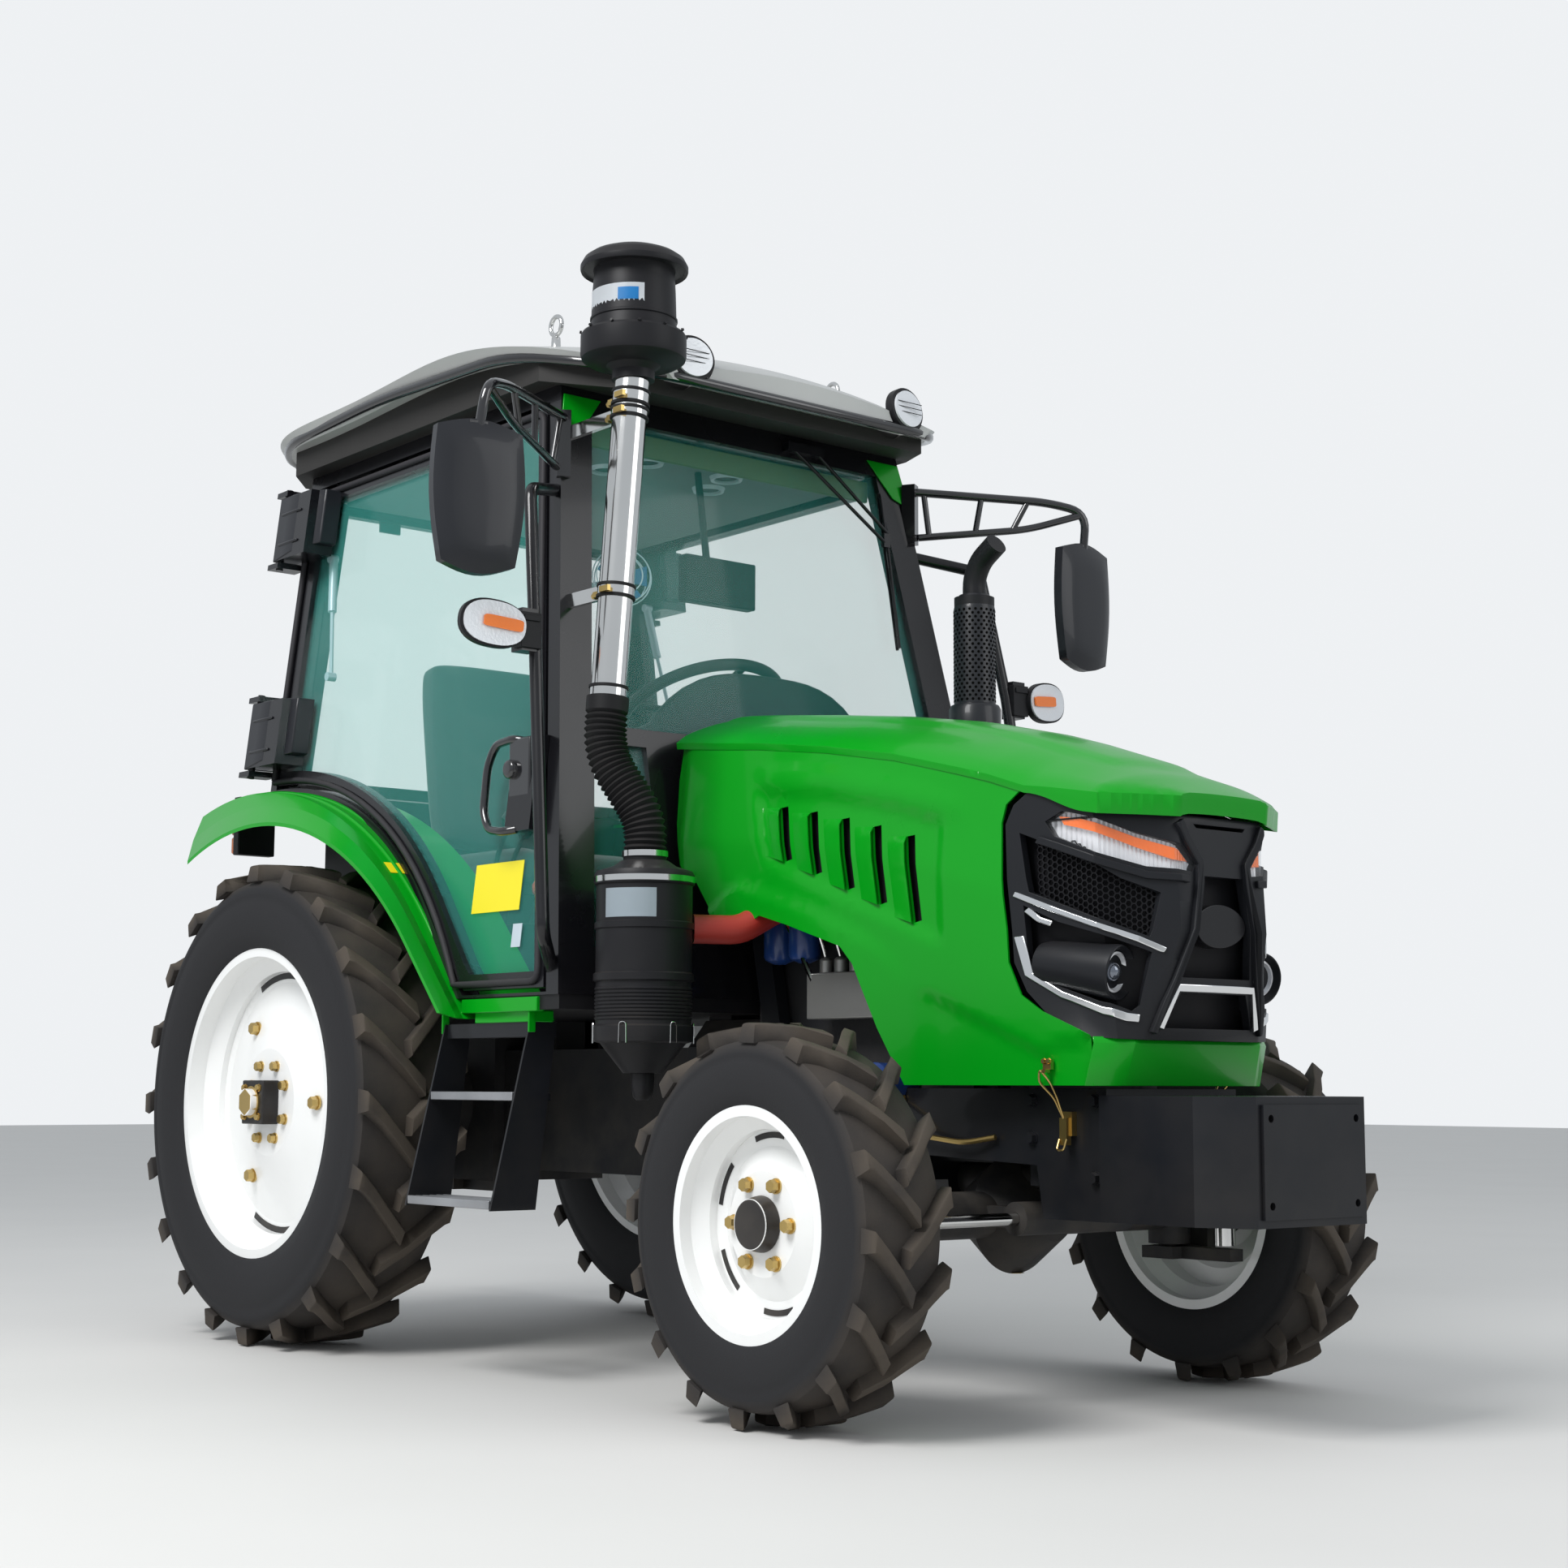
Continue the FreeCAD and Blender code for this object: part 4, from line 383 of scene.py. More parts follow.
for axle, x, radius, *sizes in WHEELS:
    for side_name, side in SIDES:
        centre, end = Vector((x, side * HALF_TRACK, radius)), "%s_%s" % (axle, side_name)
        gold, black, opening_shade = bmesh.new(), bmesh.new(), bmesh.new()
        if axle == "rear":
            bolt_ring(gold, centre, side, (0, 120, 240), 0.205, 0.057, 0.026, 0.018)
            bolt_ring(gold, centre, side, (25, 65, 115, 155, 205, 245, 295, 335), 0.094, 0.078, 0.02, 0.014)
            bolt_ring(gold, centre, side, (45, 135, 225, 315), 0.034 * math.sqrt(2), 0.1205, 0.014, 0.008)
            bolt_ring(gold, centre, side, (0,), 0, 0.1205, 0.058, 0.018)
            block(black, centre + Vector((0, side * 0.099, 0)), (0.104, 0.044, 0.104))
            sweeps, low, high, out = ((64, 116), (244, 296)), 0.297, 0.312, 0.0345
        else:
            bolt_ring(gold, centre, side, range(0, 360, 60), 0.08, 0.046, 0.022, 0.015)
            spun(black, FRONT_CAP, centre, 40, (0, side, 0))
            sweeps = [(start, start + 30) for start in range(20, 380, 60)]
            low, high, out = 0.155, 0.166, 0.0185
        # Painted shade: thin black arcs on the rim's face where the openings between disc and rim are; no
        # openings are cut.
        for first, last in sweeps:
            edges = []
            for reach in (low, high):
                verts = []
                for step in range(13):
                    degrees = first + (last - first) * step / 12
                    verts.append(opening_shade.verts.new(round_wheel(centre, side, degrees, reach, out)))
                edges += [opening_shade.edges.new(pair) for pair in zip(verts, verts[1:])]
            bmesh.ops.bridge_loops(opening_shade, edges=edges)
        bmesh.ops.solidify(opening_shade, geom=opening_shade.faces[:], thickness=0.001)
        body = "%s_wheel_%s" % (axle, side_name)
        wear(WHITE_PAINT, "rim_" + end)
        piece("wheel_bolts_" + end, gold, GOLD_BOLT, body, crease=20)
        piece("wheel_hub_" + end, black, HUB_BLACK_AND_OPENING_SHADE, body, crease=30, edge=0.003)
        piece("wheel_opening_shade_" + end, opening_shade, HUB_BLACK_AND_OPENING_SHADE, body, crease=32)

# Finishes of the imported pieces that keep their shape, and of others that look the same
GREEN = finish("green_paint", (0, 0.305, 0.008), 0.3, 0.06, 0.004, (700, 0.02), coat=0.2, shine=0.25)
BLACK_METAL = finish("black_chassis_paint", (0.009, 0.01, 0.013), 0.34, 0.3, 0.06, (350, 0.08), coat=0.12,
                     shine=0.25)
CASTING = finish("grey_black_casting", (0.024, 0.025, 0.028), 0.5, 0.4, 0.25, (220, 0.35), shine=0.2)
CAB_BLACK = finish("black_cab_paint", (0.007, 0.007, 0.009), 0.26, 0.3, 0.05, (500, 0.05), coat=0.25,
                   shine=0.35)
PLASTIC = finish("black_moulded_plastic", (0.013, 0.013, 0.015), 0.42, 0.3, 0.1, (900, 0.2), shine=0.2)
ROOF_SILVER = finish("silver_roof", (0.42, 0.43, 0.42), 0.38, 0.12, 0.1, (60, 0.3), coat=0.3)
ROOF_LINER = finish("dark_roof_underside", (0.03, 0.029, 0.028), 0.6, 0.2, 0.1, (300, 0.2), shine=0.2)
STEEL = finish("polished_steel", (0.72, 0.72, 0.71), 0.12, 0.08, 0.05, (40, 0.04), metal=1)
HITCH = finish("hitch_paint", (0.03, 0.03, 0.032), 0.5, 0.4, 0.4, (300, 0.2), shine=0.25)
HOSE = finish("black_rubber_hose", (0.011, 0.011, 0.012), 0.55, 0.3, 0.08, (600, 0.2), shine=0.2)
RED_HOSE = finish("red_silicone_hose", (0.42, 0.03, 0.02), 0.45, 0.2, 0.2, (600, 0.15))
SEAT_CLOTH = finish("seat_cloth", (0.03, 0.03, 0.034), 0.85, 0.2, 0.05, (1500, 0.5), sheen=0.4)
wear(GREEN, "fenders")
wear(BLACK_METAL, "chassis_rails", "front_weight_box", "hood_stand", "steps", "radiator")
wear(CASTING, "engine", "transmission", "rear_axle_housing", "front_axle", "knuckle_right", "knuckle_left")
wear(CAB_BLACK, "cab_frame", "door_frame_right", "door_frame_left", "rear_window_frame", "grab_bars")
wear(PLASTIC, "dashboard", "steering_wheel", "exhaust", "cab_floor")
wear(ROOF_SILVER, "roof")
wear(ROOF_LINER, "roof_underside")
wear(STEEL, "intake_pipe", "steering_rod", "pto")
wear(HITCH, "drawbar", "lower_links", "lift_arms", "lift_rods")
wear(RED_HOSE, "engine_hose")

# Glass: thin tinted panes. Their alpha rises with the viewing angle, so they mirror the sky at a slant.


def pane_finish(name, tint, clear):
    """Tinted safety glass that lets the light through."""
    made, tree, shader = material(name)
    slant = put(tree, "LayerWeight", {}).outputs["Facing"]
    steep = put(tree, "Math", {0: slant, 1: 4}, operation="POWER")
    share = put(tree, "Math", {0: steep, 1: 0.5, 2: clear}, operation="MULTIPLY_ADD", use_clamp=True)
    feed(tree, shader, {"Base Color": (*tint, 1), "Roughness": 0.03, "Specular IOR Level": 0.8,
                        "Alpha": share})
    return made


GLASS = pane_finish("tinted_glass", (0.1, 0.58, 0.5), 0.105)
wear(GLASS, "windscreen", "door_glass_right", "door_glass_left", "rear_window_glass")

# Bonnet: pressed steel side panels and a crowned top panel that hinge up together from the rear.
# Each panel is cut out flat from its outline, divided, and then laid on the bonnet's curved surface.
SIDE_WIDTHS = (
    # along, half widths at the foot, in the middle and at the shoulder, then the shoulder's height
    (1.11, 0.335, 0.345, 0.322, 1.352), (1.5, 0.305, 0.318, 0.296, 1.322),
    (1.9, 0.278, 0.29, 0.27, 1.248), (2.14, 0.256, 0.268, 0.256, 1.168),
    (2.33, 0.234, 0.25, 0.246, 1.116),
)
SHUT_LINE = ((1.15, 1.354), (1.235, 1.345), (1.41, 1.327), (1.608, 1.301), (1.802, 1.267), (1.972, 1.225),
             (2.055, 1.203), (2.14, 1.174))
MASK_EDGE = ((2.097, 1.142), (2.088, 1.108), (2.093, 1.002), (2.104, 0.908), (2.106, 0.845), (2.134, 0.784),
             (2.182, 0.753), (2.262, 0.72), (2.284, 0.71))
WHEEL_EDGE = ((2.284, 0.618), (1.836, 0.618), (1.769, 0.728), (1.706, 0.856), (1.672, 0.892), (1.52, 0.941),
              (1.438, 0.964), (1.381, 0.936), (1.303, 0.945), (1.279, 0.985), (1.238, 1.043), (1.178, 1.085),
              (1.15, 1.176), (1.143, 1.275))
FIELD_TOP = ((1.36, 1.262), (1.445, 1.243), (1.617, 1.224), (1.802, 1.186), (1.965, 1.14), (2.01, 1.124))
FLARE = ((1.2, 1.0), (1.287, 0.99), (1.375, 1.038), (1.583, 0.975), (1.761, 0.9), (1.9, 0.792))
LOW_CREASE = ((1.86, 0.8), (1.906, 0.792), (2.062, 0.729), (2.167, 0.684), (2.209, 0.693), (2.3, 0.715))
# Each louvre slot: along, then the heights of its upper and its lower end
LOUVRES = ((1.49, 1.185, 1.072), (1.577, 1.168, 1.04), (1.669, 1.148, 1.004), (1.758, 1.126, 0.97),
           (1.85, 1.1, 0.93))
PANEL = 0.004


def between(value, rows, column=1):
    """Reads one column of a table at a value between its rows."""
    if value <= rows[0][0]:
        return rows[0][column]
    for low, high in zip(rows, rows[1:]):
        if value <= high[0]:
            return low[column] + (high[column] - low[column]) * (value - low[0]) / (high[0] - low[0])
    return rows[-1][column]


def eased(value):
    """Runs smoothly from 0 to 1."""
    value = min(max(value, 0), 1)
    return value * value * (3 - 2 * value)


def side_out(x, z):
    """How far out the bonnet's side is, with its louvre field, its arch flare and its low crease."""
    foot, middle, top, shoulder = [between(x, SIDE_WIDTHS, column) for column in range(1, 5)]
    out = between(z, ((0.614, foot), (shoulder - 0.21, middle), (shoulder, top)))
    high = between(x, FIELD_TOP)
    low = 1.071 - (x - 1.468) * 0.388
    inside = eased((x - 1.405 - (1.226 - z) * 0.28) / 0.02) * eased((1.945 - x) / 0.022)
    inside *= eased((high - 0.016 - z) / 0.02) * eased((z - low + 0.006) / 0.02)
    ridge = eased((x - 1.4) / 0.05) * eased((2.0 - x) / 0.05)
    ridge *= eased((0.03 - abs(z - high - 0.01)) / 0.022)
    flare = eased((between(x, FLARE) - z) / 0.01) * eased((1.9 - x) / 0.22)
    crease = eased((between(x, LOW_CREASE) - z) / 0.01) * eased((x - 1.86) / 0.06)
    rear_roll = eased((1.2 - x) / 0.06)
    return out - 0.01 * inside + 0.004 * ridge + 0.007 * flare - 0.009 * crease - 0.018 * rear_roll


def flat_panel(outline, lines=(), holes=()):
    """A flat panel cut out along its outline and its holes, and divided along straight lines."""
    shape = bmesh.new()
    edges = []
    for loop in (outline, *holes):
        verts = [shape.verts.new((first, 0, second)) for first, second in loop]
        edges += [shape.edges.new((verts[number - 1], verts[number])) for number in range(len(verts))]
    bmesh.ops.triangle_fill(shape, use_beauty=True, use_dissolve=True, edges=edges, normal=(0, -1, 0))
    for (first, second), (across_first, across_second) in lines:
        bmesh.ops.bisect_plane(shape, geom=all_of(shape), dist=1e-5, plane_co=(first, 0, second),
                               plane_no=(across_first, 0, across_second))
    return shape


def ruled(first_range, second_range, step):
    """Lines that divide a panel both ways at an even step."""
    lines = []
    for (low, high), way in ((first_range, (1, 0)), (second_range, (0, 1))):
        for number in range(1, int((high - low) / step) + 1):
            lines.append((((low + number * step) * way[0], (low + number * step) * way[1]), way))
    return lines


def thick(shape, depth, place):
    """Gives a flat panel its depth and lays it on a surface: place takes its two measures and its depth."""
    bmesh.ops.recalc_face_normals(shape, faces=shape.faces)
    for vert in verts_of(bmesh.ops.extrude_face_region(shape, geom=shape.faces[:])):
        vert.co.y = depth
    for vert in shape.verts:
        vert.co = place(vert.co.x, vert.co.z, vert.co.y)
    return shape


def doubled(*shapes):
    """Adds the same parts on the tractor's other side."""
    for shape in shapes:
        copied = verts_of(bmesh.ops.duplicate(shape, geom=all_of(shape)))
        bmesh.ops.scale(shape, vec=(1, -1, 1), verts=copied)


slots = [((x - 0.01, high), (x + 0.012, high + 0.002), (x + 0.032, low + 0.004), (x + 0.012, low))
         for x, high, low in LOUVRES]
shape = flat_panel(SHUT_LINE + MASK_EDGE + WHEEL_EDGE, ruled((1.12, 2.3), (0.61, 1.36), 0.0155), slots)
thick(shape, PANEL, lambda x, z, depth: (x, depth - side_out(x, z), z))
doubled(shape)
piece("hood_side_panels", shape, GREEN, "hood", ["hood"], crease=60, edge=0.0012)


def louvre_blade(top_x, top_z, low_x, low_z):
    """A scoop that stands out of the field ahead of its slot and slants back into it."""
    def scoop(x, z, depth):
        edge_x = top_x + (low_x - top_x) * (top_z - z) / (top_z - low_z)
        rise = 0.011 * min(max(1 - (edge_x - x) / 0.052, 0), 1) * eased((top_z + 0.003 - z) / 0.012)
        return x, depth - side_out(x, z) - rise, z

    outline = ((top_x - 0.052, top_z + 0.004), (top_x + 0.002, top_z), (low_x + 0.002, low_z),
               (low_x - 0.05, low_z + 0.014))
    return thick(flat_panel(outline, ruled((top_x - 0.06, top_x + 0.06), (low_z, top_z), 0.012)), 0.003,
                 scoop)


shape = bmesh.new()
for slot in slots:
    added(shape, louvre_blade(*slot[0], *slot[3]))
doubled(shape)
piece("hood_louvre_blades", shape, GREEN, "hood", crease=50, edge=0.001)
# Dark liners behind the slots
shape = flat_panel(((1.43, 1.21), (1.92, 1.12), (1.92, 0.9), (1.46, 1.05)),
                   ruled((1.4, 2.0), (0.9, 1.3), 0.06))
thick(shape, 0.002, lambda x, z, depth: (x, depth + 0.022 - side_out(x, z), z))
doubled(shape)
piece("hood_louvre_liners", shape, PLASTIC, "hood", crease=32)

# Top panel: a plateau along the middle, rounded edges and a deep lip that overhangs the mask
TOP_EDGE = (
    # along, half width, height of the edge, height of the middle
    (1.15, 0.3205, 1.358, 1.436), (1.235, 0.3155, 1.349, 1.428), (1.41, 0.3035, 1.331, 1.408),
    (1.608, 0.2905, 1.305, 1.383), (1.802, 0.2775, 1.271, 1.352), (1.972, 0.2675, 1.229, 1.313),
    (2.055, 0.2625, 1.207, 1.289), (2.143, 0.2575, 1.178, 1.26), (2.2, 0.256, 1.17, 1.24),
    (2.322, 0.252, 1.149, 1.193), (2.362, 0.19, 1.148, 1.172), (2.404, 0.12, 1.146, 1.15),
)


def top_height(x, y):
    """How high the top panel is, with its plateau."""
    width, edge, crown = [between(x, TOP_EDGE, column) for column in (1, 2, 3)]
    share = min(abs(y) / width, 1)
    half = 0.175 - 0.05 * (x - 1.2)
    plateau = eased((half - abs(y)) / 0.022) * eased((2.285 - x - abs(y) * 0.25) / 0.05)
    dome = (crown - edge) * (1 - share ** 2.4) * 0.93
    return edge + dome + 0.006 * plateau - 0.005 * eased((share - 0.93) / 0.07)


outline = [(x, half) for x, half, *heights in TOP_EDGE]
outline += [(x, -half) for x, half in reversed(outline)]
shape = flat_panel(outline, ruled((1.15, 2.404), (-0.33, 0.33), 0.0165))
bmesh.ops.recalc_face_normals(shape, faces=shape.faces)
rim = [edge for edge in shape.edges if edge.is_boundary]
for vert in verts_of(bmesh.ops.extrude_edge_only(shape, edges=rim)):
    vert.co.y = 1
for vert in shape.verts:
    x, lip, y = vert.co
    sink = lip * (0.012 + 0.024 * eased((x - 2.15) / 0.14))
    vert.co = (x - lip * 0.004 * eased((x - 2.3) / 0.05), y * (1 - 0.008 * lip), top_height(x, y) - sink)
piece("hood_top_panel", shape, GREEN, "hood", crease=50, sheet=(PANEL, 1), edge=0.004, segments=3,
      angle=50)

# Low front panel: folded under the mask, its lower face drawn back
LOW_PLAN = ((2.29, -0.238), (2.33, -0.172), (2.33, 0.172), (2.29, 0.238))
shape = bmesh.new()
loops = []
for height, out in ((0.707, 0), (0.694, 0.005), (0.617, -0.016)):
    verts = [shape.verts.new((x + out, y + math.copysign(out * 0.4, y), height)) for x, y in LOW_PLAN]
    loops.append([shape.edges.new(pair) for pair in zip(verts, verts[1:])])
for first, last in zip(loops, loops[1:]):
    bmesh.ops.bridge_loops(shape, edges=first + last)
piece("hood_low_front", shape, GREEN, "hood", crease=20, sheet=(PANEL, -1), edge=0.002)

# Mask: moulded black plastic round the lamps, with bays cut through to a plate behind them.
# Its places are given by a fold number, from 0 in the middle over 1 and 2 at its folds to 3 at its seam.
MASK_PLAN = (
    # height, then along and half width of the seam, the corner and the nose
    (0.7, 2.286, 0.238, 2.322, 0.206, 2.348, 0.15), (0.75, 2.186, 0.25, 2.32, 0.213, 2.362, 0.143),
    (0.79, 2.142, 0.255, 2.313, 0.221, 2.373, 0.135), (0.845, 2.114, 0.26, 2.305, 0.228, 2.386, 0.127),
    (0.9, 2.112, 0.262, 2.3, 0.232, 2.4, 0.12), (1.0, 2.101, 0.264, 2.3, 0.236, 2.396, 0.118),
    (1.104, 2.096, 0.262, 2.3, 0.24, 2.392, 0.116), (1.17, 2.13, 0.256, 2.29, 0.236, 2.37, 0.116),
)
FOLDS = (-2.5, -2, -1.75, -1.5, -1.25, -1, 0, 1, 1.25, 1.5, 1.75, 2, 2.5)
FOLD_LINES = [((fold, 0), (1, 0)) for fold in FOLDS]
MASK_LINES = FOLD_LINES + [((0, z), (0, 1)) for z in (0.75, 0.79, 0.845, 0.9, 0.95, 1.0, 1.05, 1.104)]
HEADLAMP = ((2.54, 1.103), (2.36, 1.12), (2.17, 1.112), (1.51, 1.076), (0.9, 1.054), (0.6, 1.022),
            (0.68, 1.006),
            (1.39, 1.014), (2.0, 1.04), (2.44, 1.074))
MESH_BAY = ((2.84, 1.086), (2.24, 1.04), (1.7, 0.992), (1.22, 0.966), (1.36, 0.886), (2.03, 0.922),
            (2.76, 0.974))
FOG_BAY = ((2.84, 0.95), (2.45, 0.916), (2.03, 0.893), (1.3, 0.858), (1.42, 0.762), (1.6, 0.752),
           (2.15, 0.77),
           (2.6, 0.8), (2.83, 0.838))
COLUMN = ((-0.5, 1.0), (0.5, 1.0), (0.72, 0.814), (-0.72, 0.814))
MOUTH = ((-0.66, 0.786), (0.66, 0.786), (0.84, 0.722), (-0.84, 0.722))
TOP_SLOT = ((-0.62, 1.095), (0.62, 1.095), (0.56, 1.088), (-0.56, 1.088))
MASK_HALF = ((0, 1.11), (1, 1.11), (2, 1.114), (2.72, 1.158), (2.86, 1.163), (3, 1.14), (3, 1), (3, 0.9),
             (3, 0.845), (3, 0.79), (3, 0.75), (3, 0.706), (2, 0.702), (1, 0.7), (0, 0.7))


def mask_place(fold, z, depth):
    """A place on the mask, so deep behind its face."""
    row = [between(z, MASK_PLAN, column) for column in range(7)]
    stops = ((0, row[5], 0), (1, row[5], row[6]), (2, row[3], row[4]), (3, row[1], row[2]))
    inward = Vector((-1, 0)).lerp(Vector((-0.5, -0.87)), eased(abs(fold) - 0.9))
    inward = inward.lerp(Vector((-0.12, -0.99)), eased(abs(fold) - 1.8))
    x, y = [between(abs(fold), stops, column + 1) + inward[column] * depth for column in (0, 1)]
    return Vector((x, math.copysign(y, fold), z))


def mirrored(line):
    """The same line on the mask's other half."""
    return [(-fold, z) for fold, z in line]


MASK_BLACK = finish("matte_black_mask", (0.012, 0.013, 0.016), 0.4, 0.15, 0.06, (1400, 0.12), shine=0.25)
MASK_DEEP = finish("black_recess_plastic", (0.01, 0.01, 0.012), 0.5, 0.2, 0.1, (1200, 0.2), shine=0.15)
outline = [*MASK_HALF, *mirrored(MASK_HALF[-2:0:-1])]
holes = [HEADLAMP, MESH_BAY, FOG_BAY]
holes += [mirrored(reversed(loop)) for loop in holes] + [COLUMN, MOUTH, TOP_SLOT]
shape = thick(flat_panel(outline, MASK_LINES, holes), 0.018, mask_place)
piece("mask_frame", shape, MASK_BLACK, "hood", ["hood_mask"], crease=40, edge=0.0028,
      segments=3)
shape = flat_panel([(fold * 0.985, z * 0.985 + 0.0135) for fold, z in outline], MASK_LINES)
thick(shape, 0.003, lambda fold, z, depth: mask_place(fold, z, depth + 0.04))
piece("mask_back_plate", shape, MASK_DEEP, "hood", crease=32)
shape = flat_panel(((2.11, -0.255), (2.285, -0.236), (2.372, -0.116), (2.372, 0.116), (2.285, 0.236),
                    (2.11, 0.255)))
thick(shape, 0.003, lambda x, y, depth: (x, y, 1.1065 - depth))
piece("mask_shelf", shape, MASK_DEEP, "hood", crease=32)

# Mask trim: bright strips round the fog lamp bays and over the mouth, ribs down both sides of the
# middle, a lip under each headlamp, and a blank oval boss between them.
FOLD_LENGTH = 0.13
CHROME = finish("chrome_plate", (0.8, 0.81, 0.82), 0.07, 0.03, 0.02, (200, 0.02), metal=1)
OVAL_BLACK = finish("satin_black_boss", (0.012, 0.012, 0.014), 0.28, 0.1, 0.05, (900, 0.1), shine=0.35)


def strip(shape, line, width, rise, lift):
    """A moulded strip along a line on the mask, from so high above its face to so much higher."""
    upper, lower = [], []
    for number, (fold, z) in enumerate(line):
        before, after = line[max(number - 1, 0)], line[min(number + 1, len(line) - 1)]
        run, climb = (after[0] - before[0]) * FOLD_LENGTH, after[1] - before[1]
        share = width / 2 / math.hypot(run, climb)
        upper.append((fold - climb * share / FOLD_LENGTH, z + run * share))
        lower.append((fold + climb * share / FOLD_LENGTH, z - run * share))
    panel = flat_panel(upper + lower[::-1], FOLD_LINES)
    added(shape, thick(panel, rise, lambda fold, z, depth: mask_place(fold, z, lift - depth)))


shape = bmesh.new()
for width, *line in (
        (0.011, (2.93, 0.972), (2.5, 0.94), (2.03, 0.908), (1.5, 0.882), (1.14, 0.861)),
        (0.011, (2.8, 0.942), (2.66, 0.922), (2.52, 0.913)),
        (0.016, (2.915, 0.893), (2.875, 0.822), (2.58, 0.783), (2.15, 0.753), (1.7, 0.741), (1.4, 0.738))):
    strip(shape, line, width, 0.007, 0.003)
    strip(shape, mirrored(line), width, 0.007, 0.003)
strip(shape, ((-0.9, 0.72), (-0.76, 0.795), (0.76, 0.795), (0.9, 0.72)), 0.015, 0.01, 0.003)
piece("mask_bright_strips", shape, CHROME, "hood", edge=0.002)
shape = bmesh.new()
RIB = ((0.99, 1.098), (0.84, 1.066), (0.555, 1.024), (0.565, 0.99), (0.71, 0.9), (0.86, 0.81), (1.03, 0.712))
LAMP_LIP = ((2.62, 1.07), (2.44, 1.058), (2.0, 1.026), (1.39, 0.998), (0.8, 0.992))
for line, width, rise in ((RIB, 0.018, 0.012), (LAMP_LIP, 0.014, 0.01)):
    strip(shape, line, width, rise, 0.002)
    strip(shape, mirrored(line), width, rise, 0.002)
piece("mask_ribs", shape, MASK_BLACK, "hood", edge=0.004, segments=3)
shape = bmesh.new()
bmesh.ops.create_circle(shape, segments=48, radius=1, cap_ends=True)
bmesh.ops.inset_region(shape, faces=shape.faces, thickness=0.1, depth=0)
for vert in shape.verts:
    sunk = 0.007 if math.hypot(vert.co.x, vert.co.y) > 0.95 else 0.013
    vert.co = mask_place(vert.co.x * 0.068 / 0.12, 0.91 + vert.co.y * 0.04, sunk)
grown = verts_of(bmesh.ops.extrude_face_region(shape, geom=shape.faces[:]))
bmesh.ops.translate(shape, verts=grown, vec=(-0.028, 0, 0))
piece("mask_blank_oval", shape, OVAL_BLACK, "hood", crease=30, edge=0.0015)

# Headlamps: a ribbed bright tray, an orange bar along its top and a clear cover
BRIGHT_TRAY = finish("bright_lamp_tray", (0.88, 0.89, 0.92), 0.22, 0.05, 0, (300, 0.05), metal=0.25, coat=0.5)
AMBER = finish("amber_lens", (0.95, 0.17, 0.005), 0.25, 0.15, 0, (500, 0.3), coat=0.8)
CLEAR_LENS = pane_finish("clear_lamp_lens", (0.8, 0.84, 0.88), 0.02)
AMBER_BAR = ((2.4, 1.11), (2.17, 1.103), (1.51, 1.068), (0.93, 1.046), (0.74, 1.026), (1.02, 1.028),
             (1.51, 1.05),
             (2.17, 1.086), (2.34, 1.094))
RIB_PITCH = 0.03
RIB_LINES = [((0.6 + RIB_PITCH * number, 0), (1, 0)) for number in range(65)]


def lens_part(loop, side, lines, behind, deep, step):
    """One lamp part: its outline grown a little, so far behind the mask's face, with ribs across it."""
    loop = [(1.55 + (fold - 1.55) * 1.012, 1.062 + (z - 1.062) * 1.03) for fold, z in loop]
    return thick(flat_panel(loop, FOLD_LINES + lines), deep, lambda fold, z, depth: mask_place(
        side * fold, z, behind + depth + step * (round(fold / RIB_PITCH) % 2)))


for title, loop, behind, deep, made, lines, step, replaced in (
        ("tray", HEADLAMP, 0.017, 0.002, BRIGHT_TRAY, RIB_LINES, 0.0022, ["front_lamps"]),
        ("amber_bar", AMBER_BAR, 0.008, 0.005, AMBER, RIB_LINES, 0.0008, ()),
        ("cover", HEADLAMP, 0.0045, 0.002, CLEAR_LENS, [], 0.0008, ())):
    shape = bmesh.new()
    for side in (-1, 1):
        added(shape, lens_part(loop, side, lines, behind, deep, step))
    piece("headlamp_" + title, shape, made, "hood", replaced, crease=25)

# Honeycomb nets in the upper bays: six-sided cells whose walls are left when their middles are cut out
CELL = 0.0072
FRONT_SPAN, SIDE_SPAN = 0.15, 0.192


def fold_at(along):
    """The fold number of a place measured round the mask in metres, from its inner fold."""
    return 1 + along / FRONT_SPAN if along < FRONT_SPAN else 2 + (along - FRONT_SPAN) / SIDE_SPAN


shape = bmesh.new()
for column in range(24):
    for row in range(16):
        along, z = 0.028 + column * CELL * 1.5, 0.872 + (row + 0.5 * (column % 2)) * CELL * math.sqrt(3)
        fold = fold_at(along)
        if 0.874 + (fold - 1.3) * 0.058 < z < 0.985 + (fold - 1.3) * 0.078 and 1.2 < fold < 2.9:
            turned = Matrix.Rotation(math.pi / 2, 4, "X") @ Matrix.Rotation(math.pi / 6, 4, "Z")
            bmesh.ops.create_circle(shape, segments=6, radius=CELL, cap_ends=True,
                                    matrix=Matrix.Translation((along, 0, z)) @ turned)
bmesh.ops.remove_doubles(shape, verts=shape.verts, dist=CELL * 0.1)
bmesh.ops.inset_individual(shape, faces=shape.faces[:], thickness=CELL * 0.17, depth=0, use_even_offset=True)
bmesh.ops.delete(shape, geom=[face for face in shape.faces if len(face.verts) == 6], context="FACES")
thick(shape, 0.006, lambda along, z, depth: mask_place(fold_at(along), z, 0.014 + depth))
doubled(shape)
piece("mask_honeycomb", shape, MASK_DEEP, "hood", crease=30)

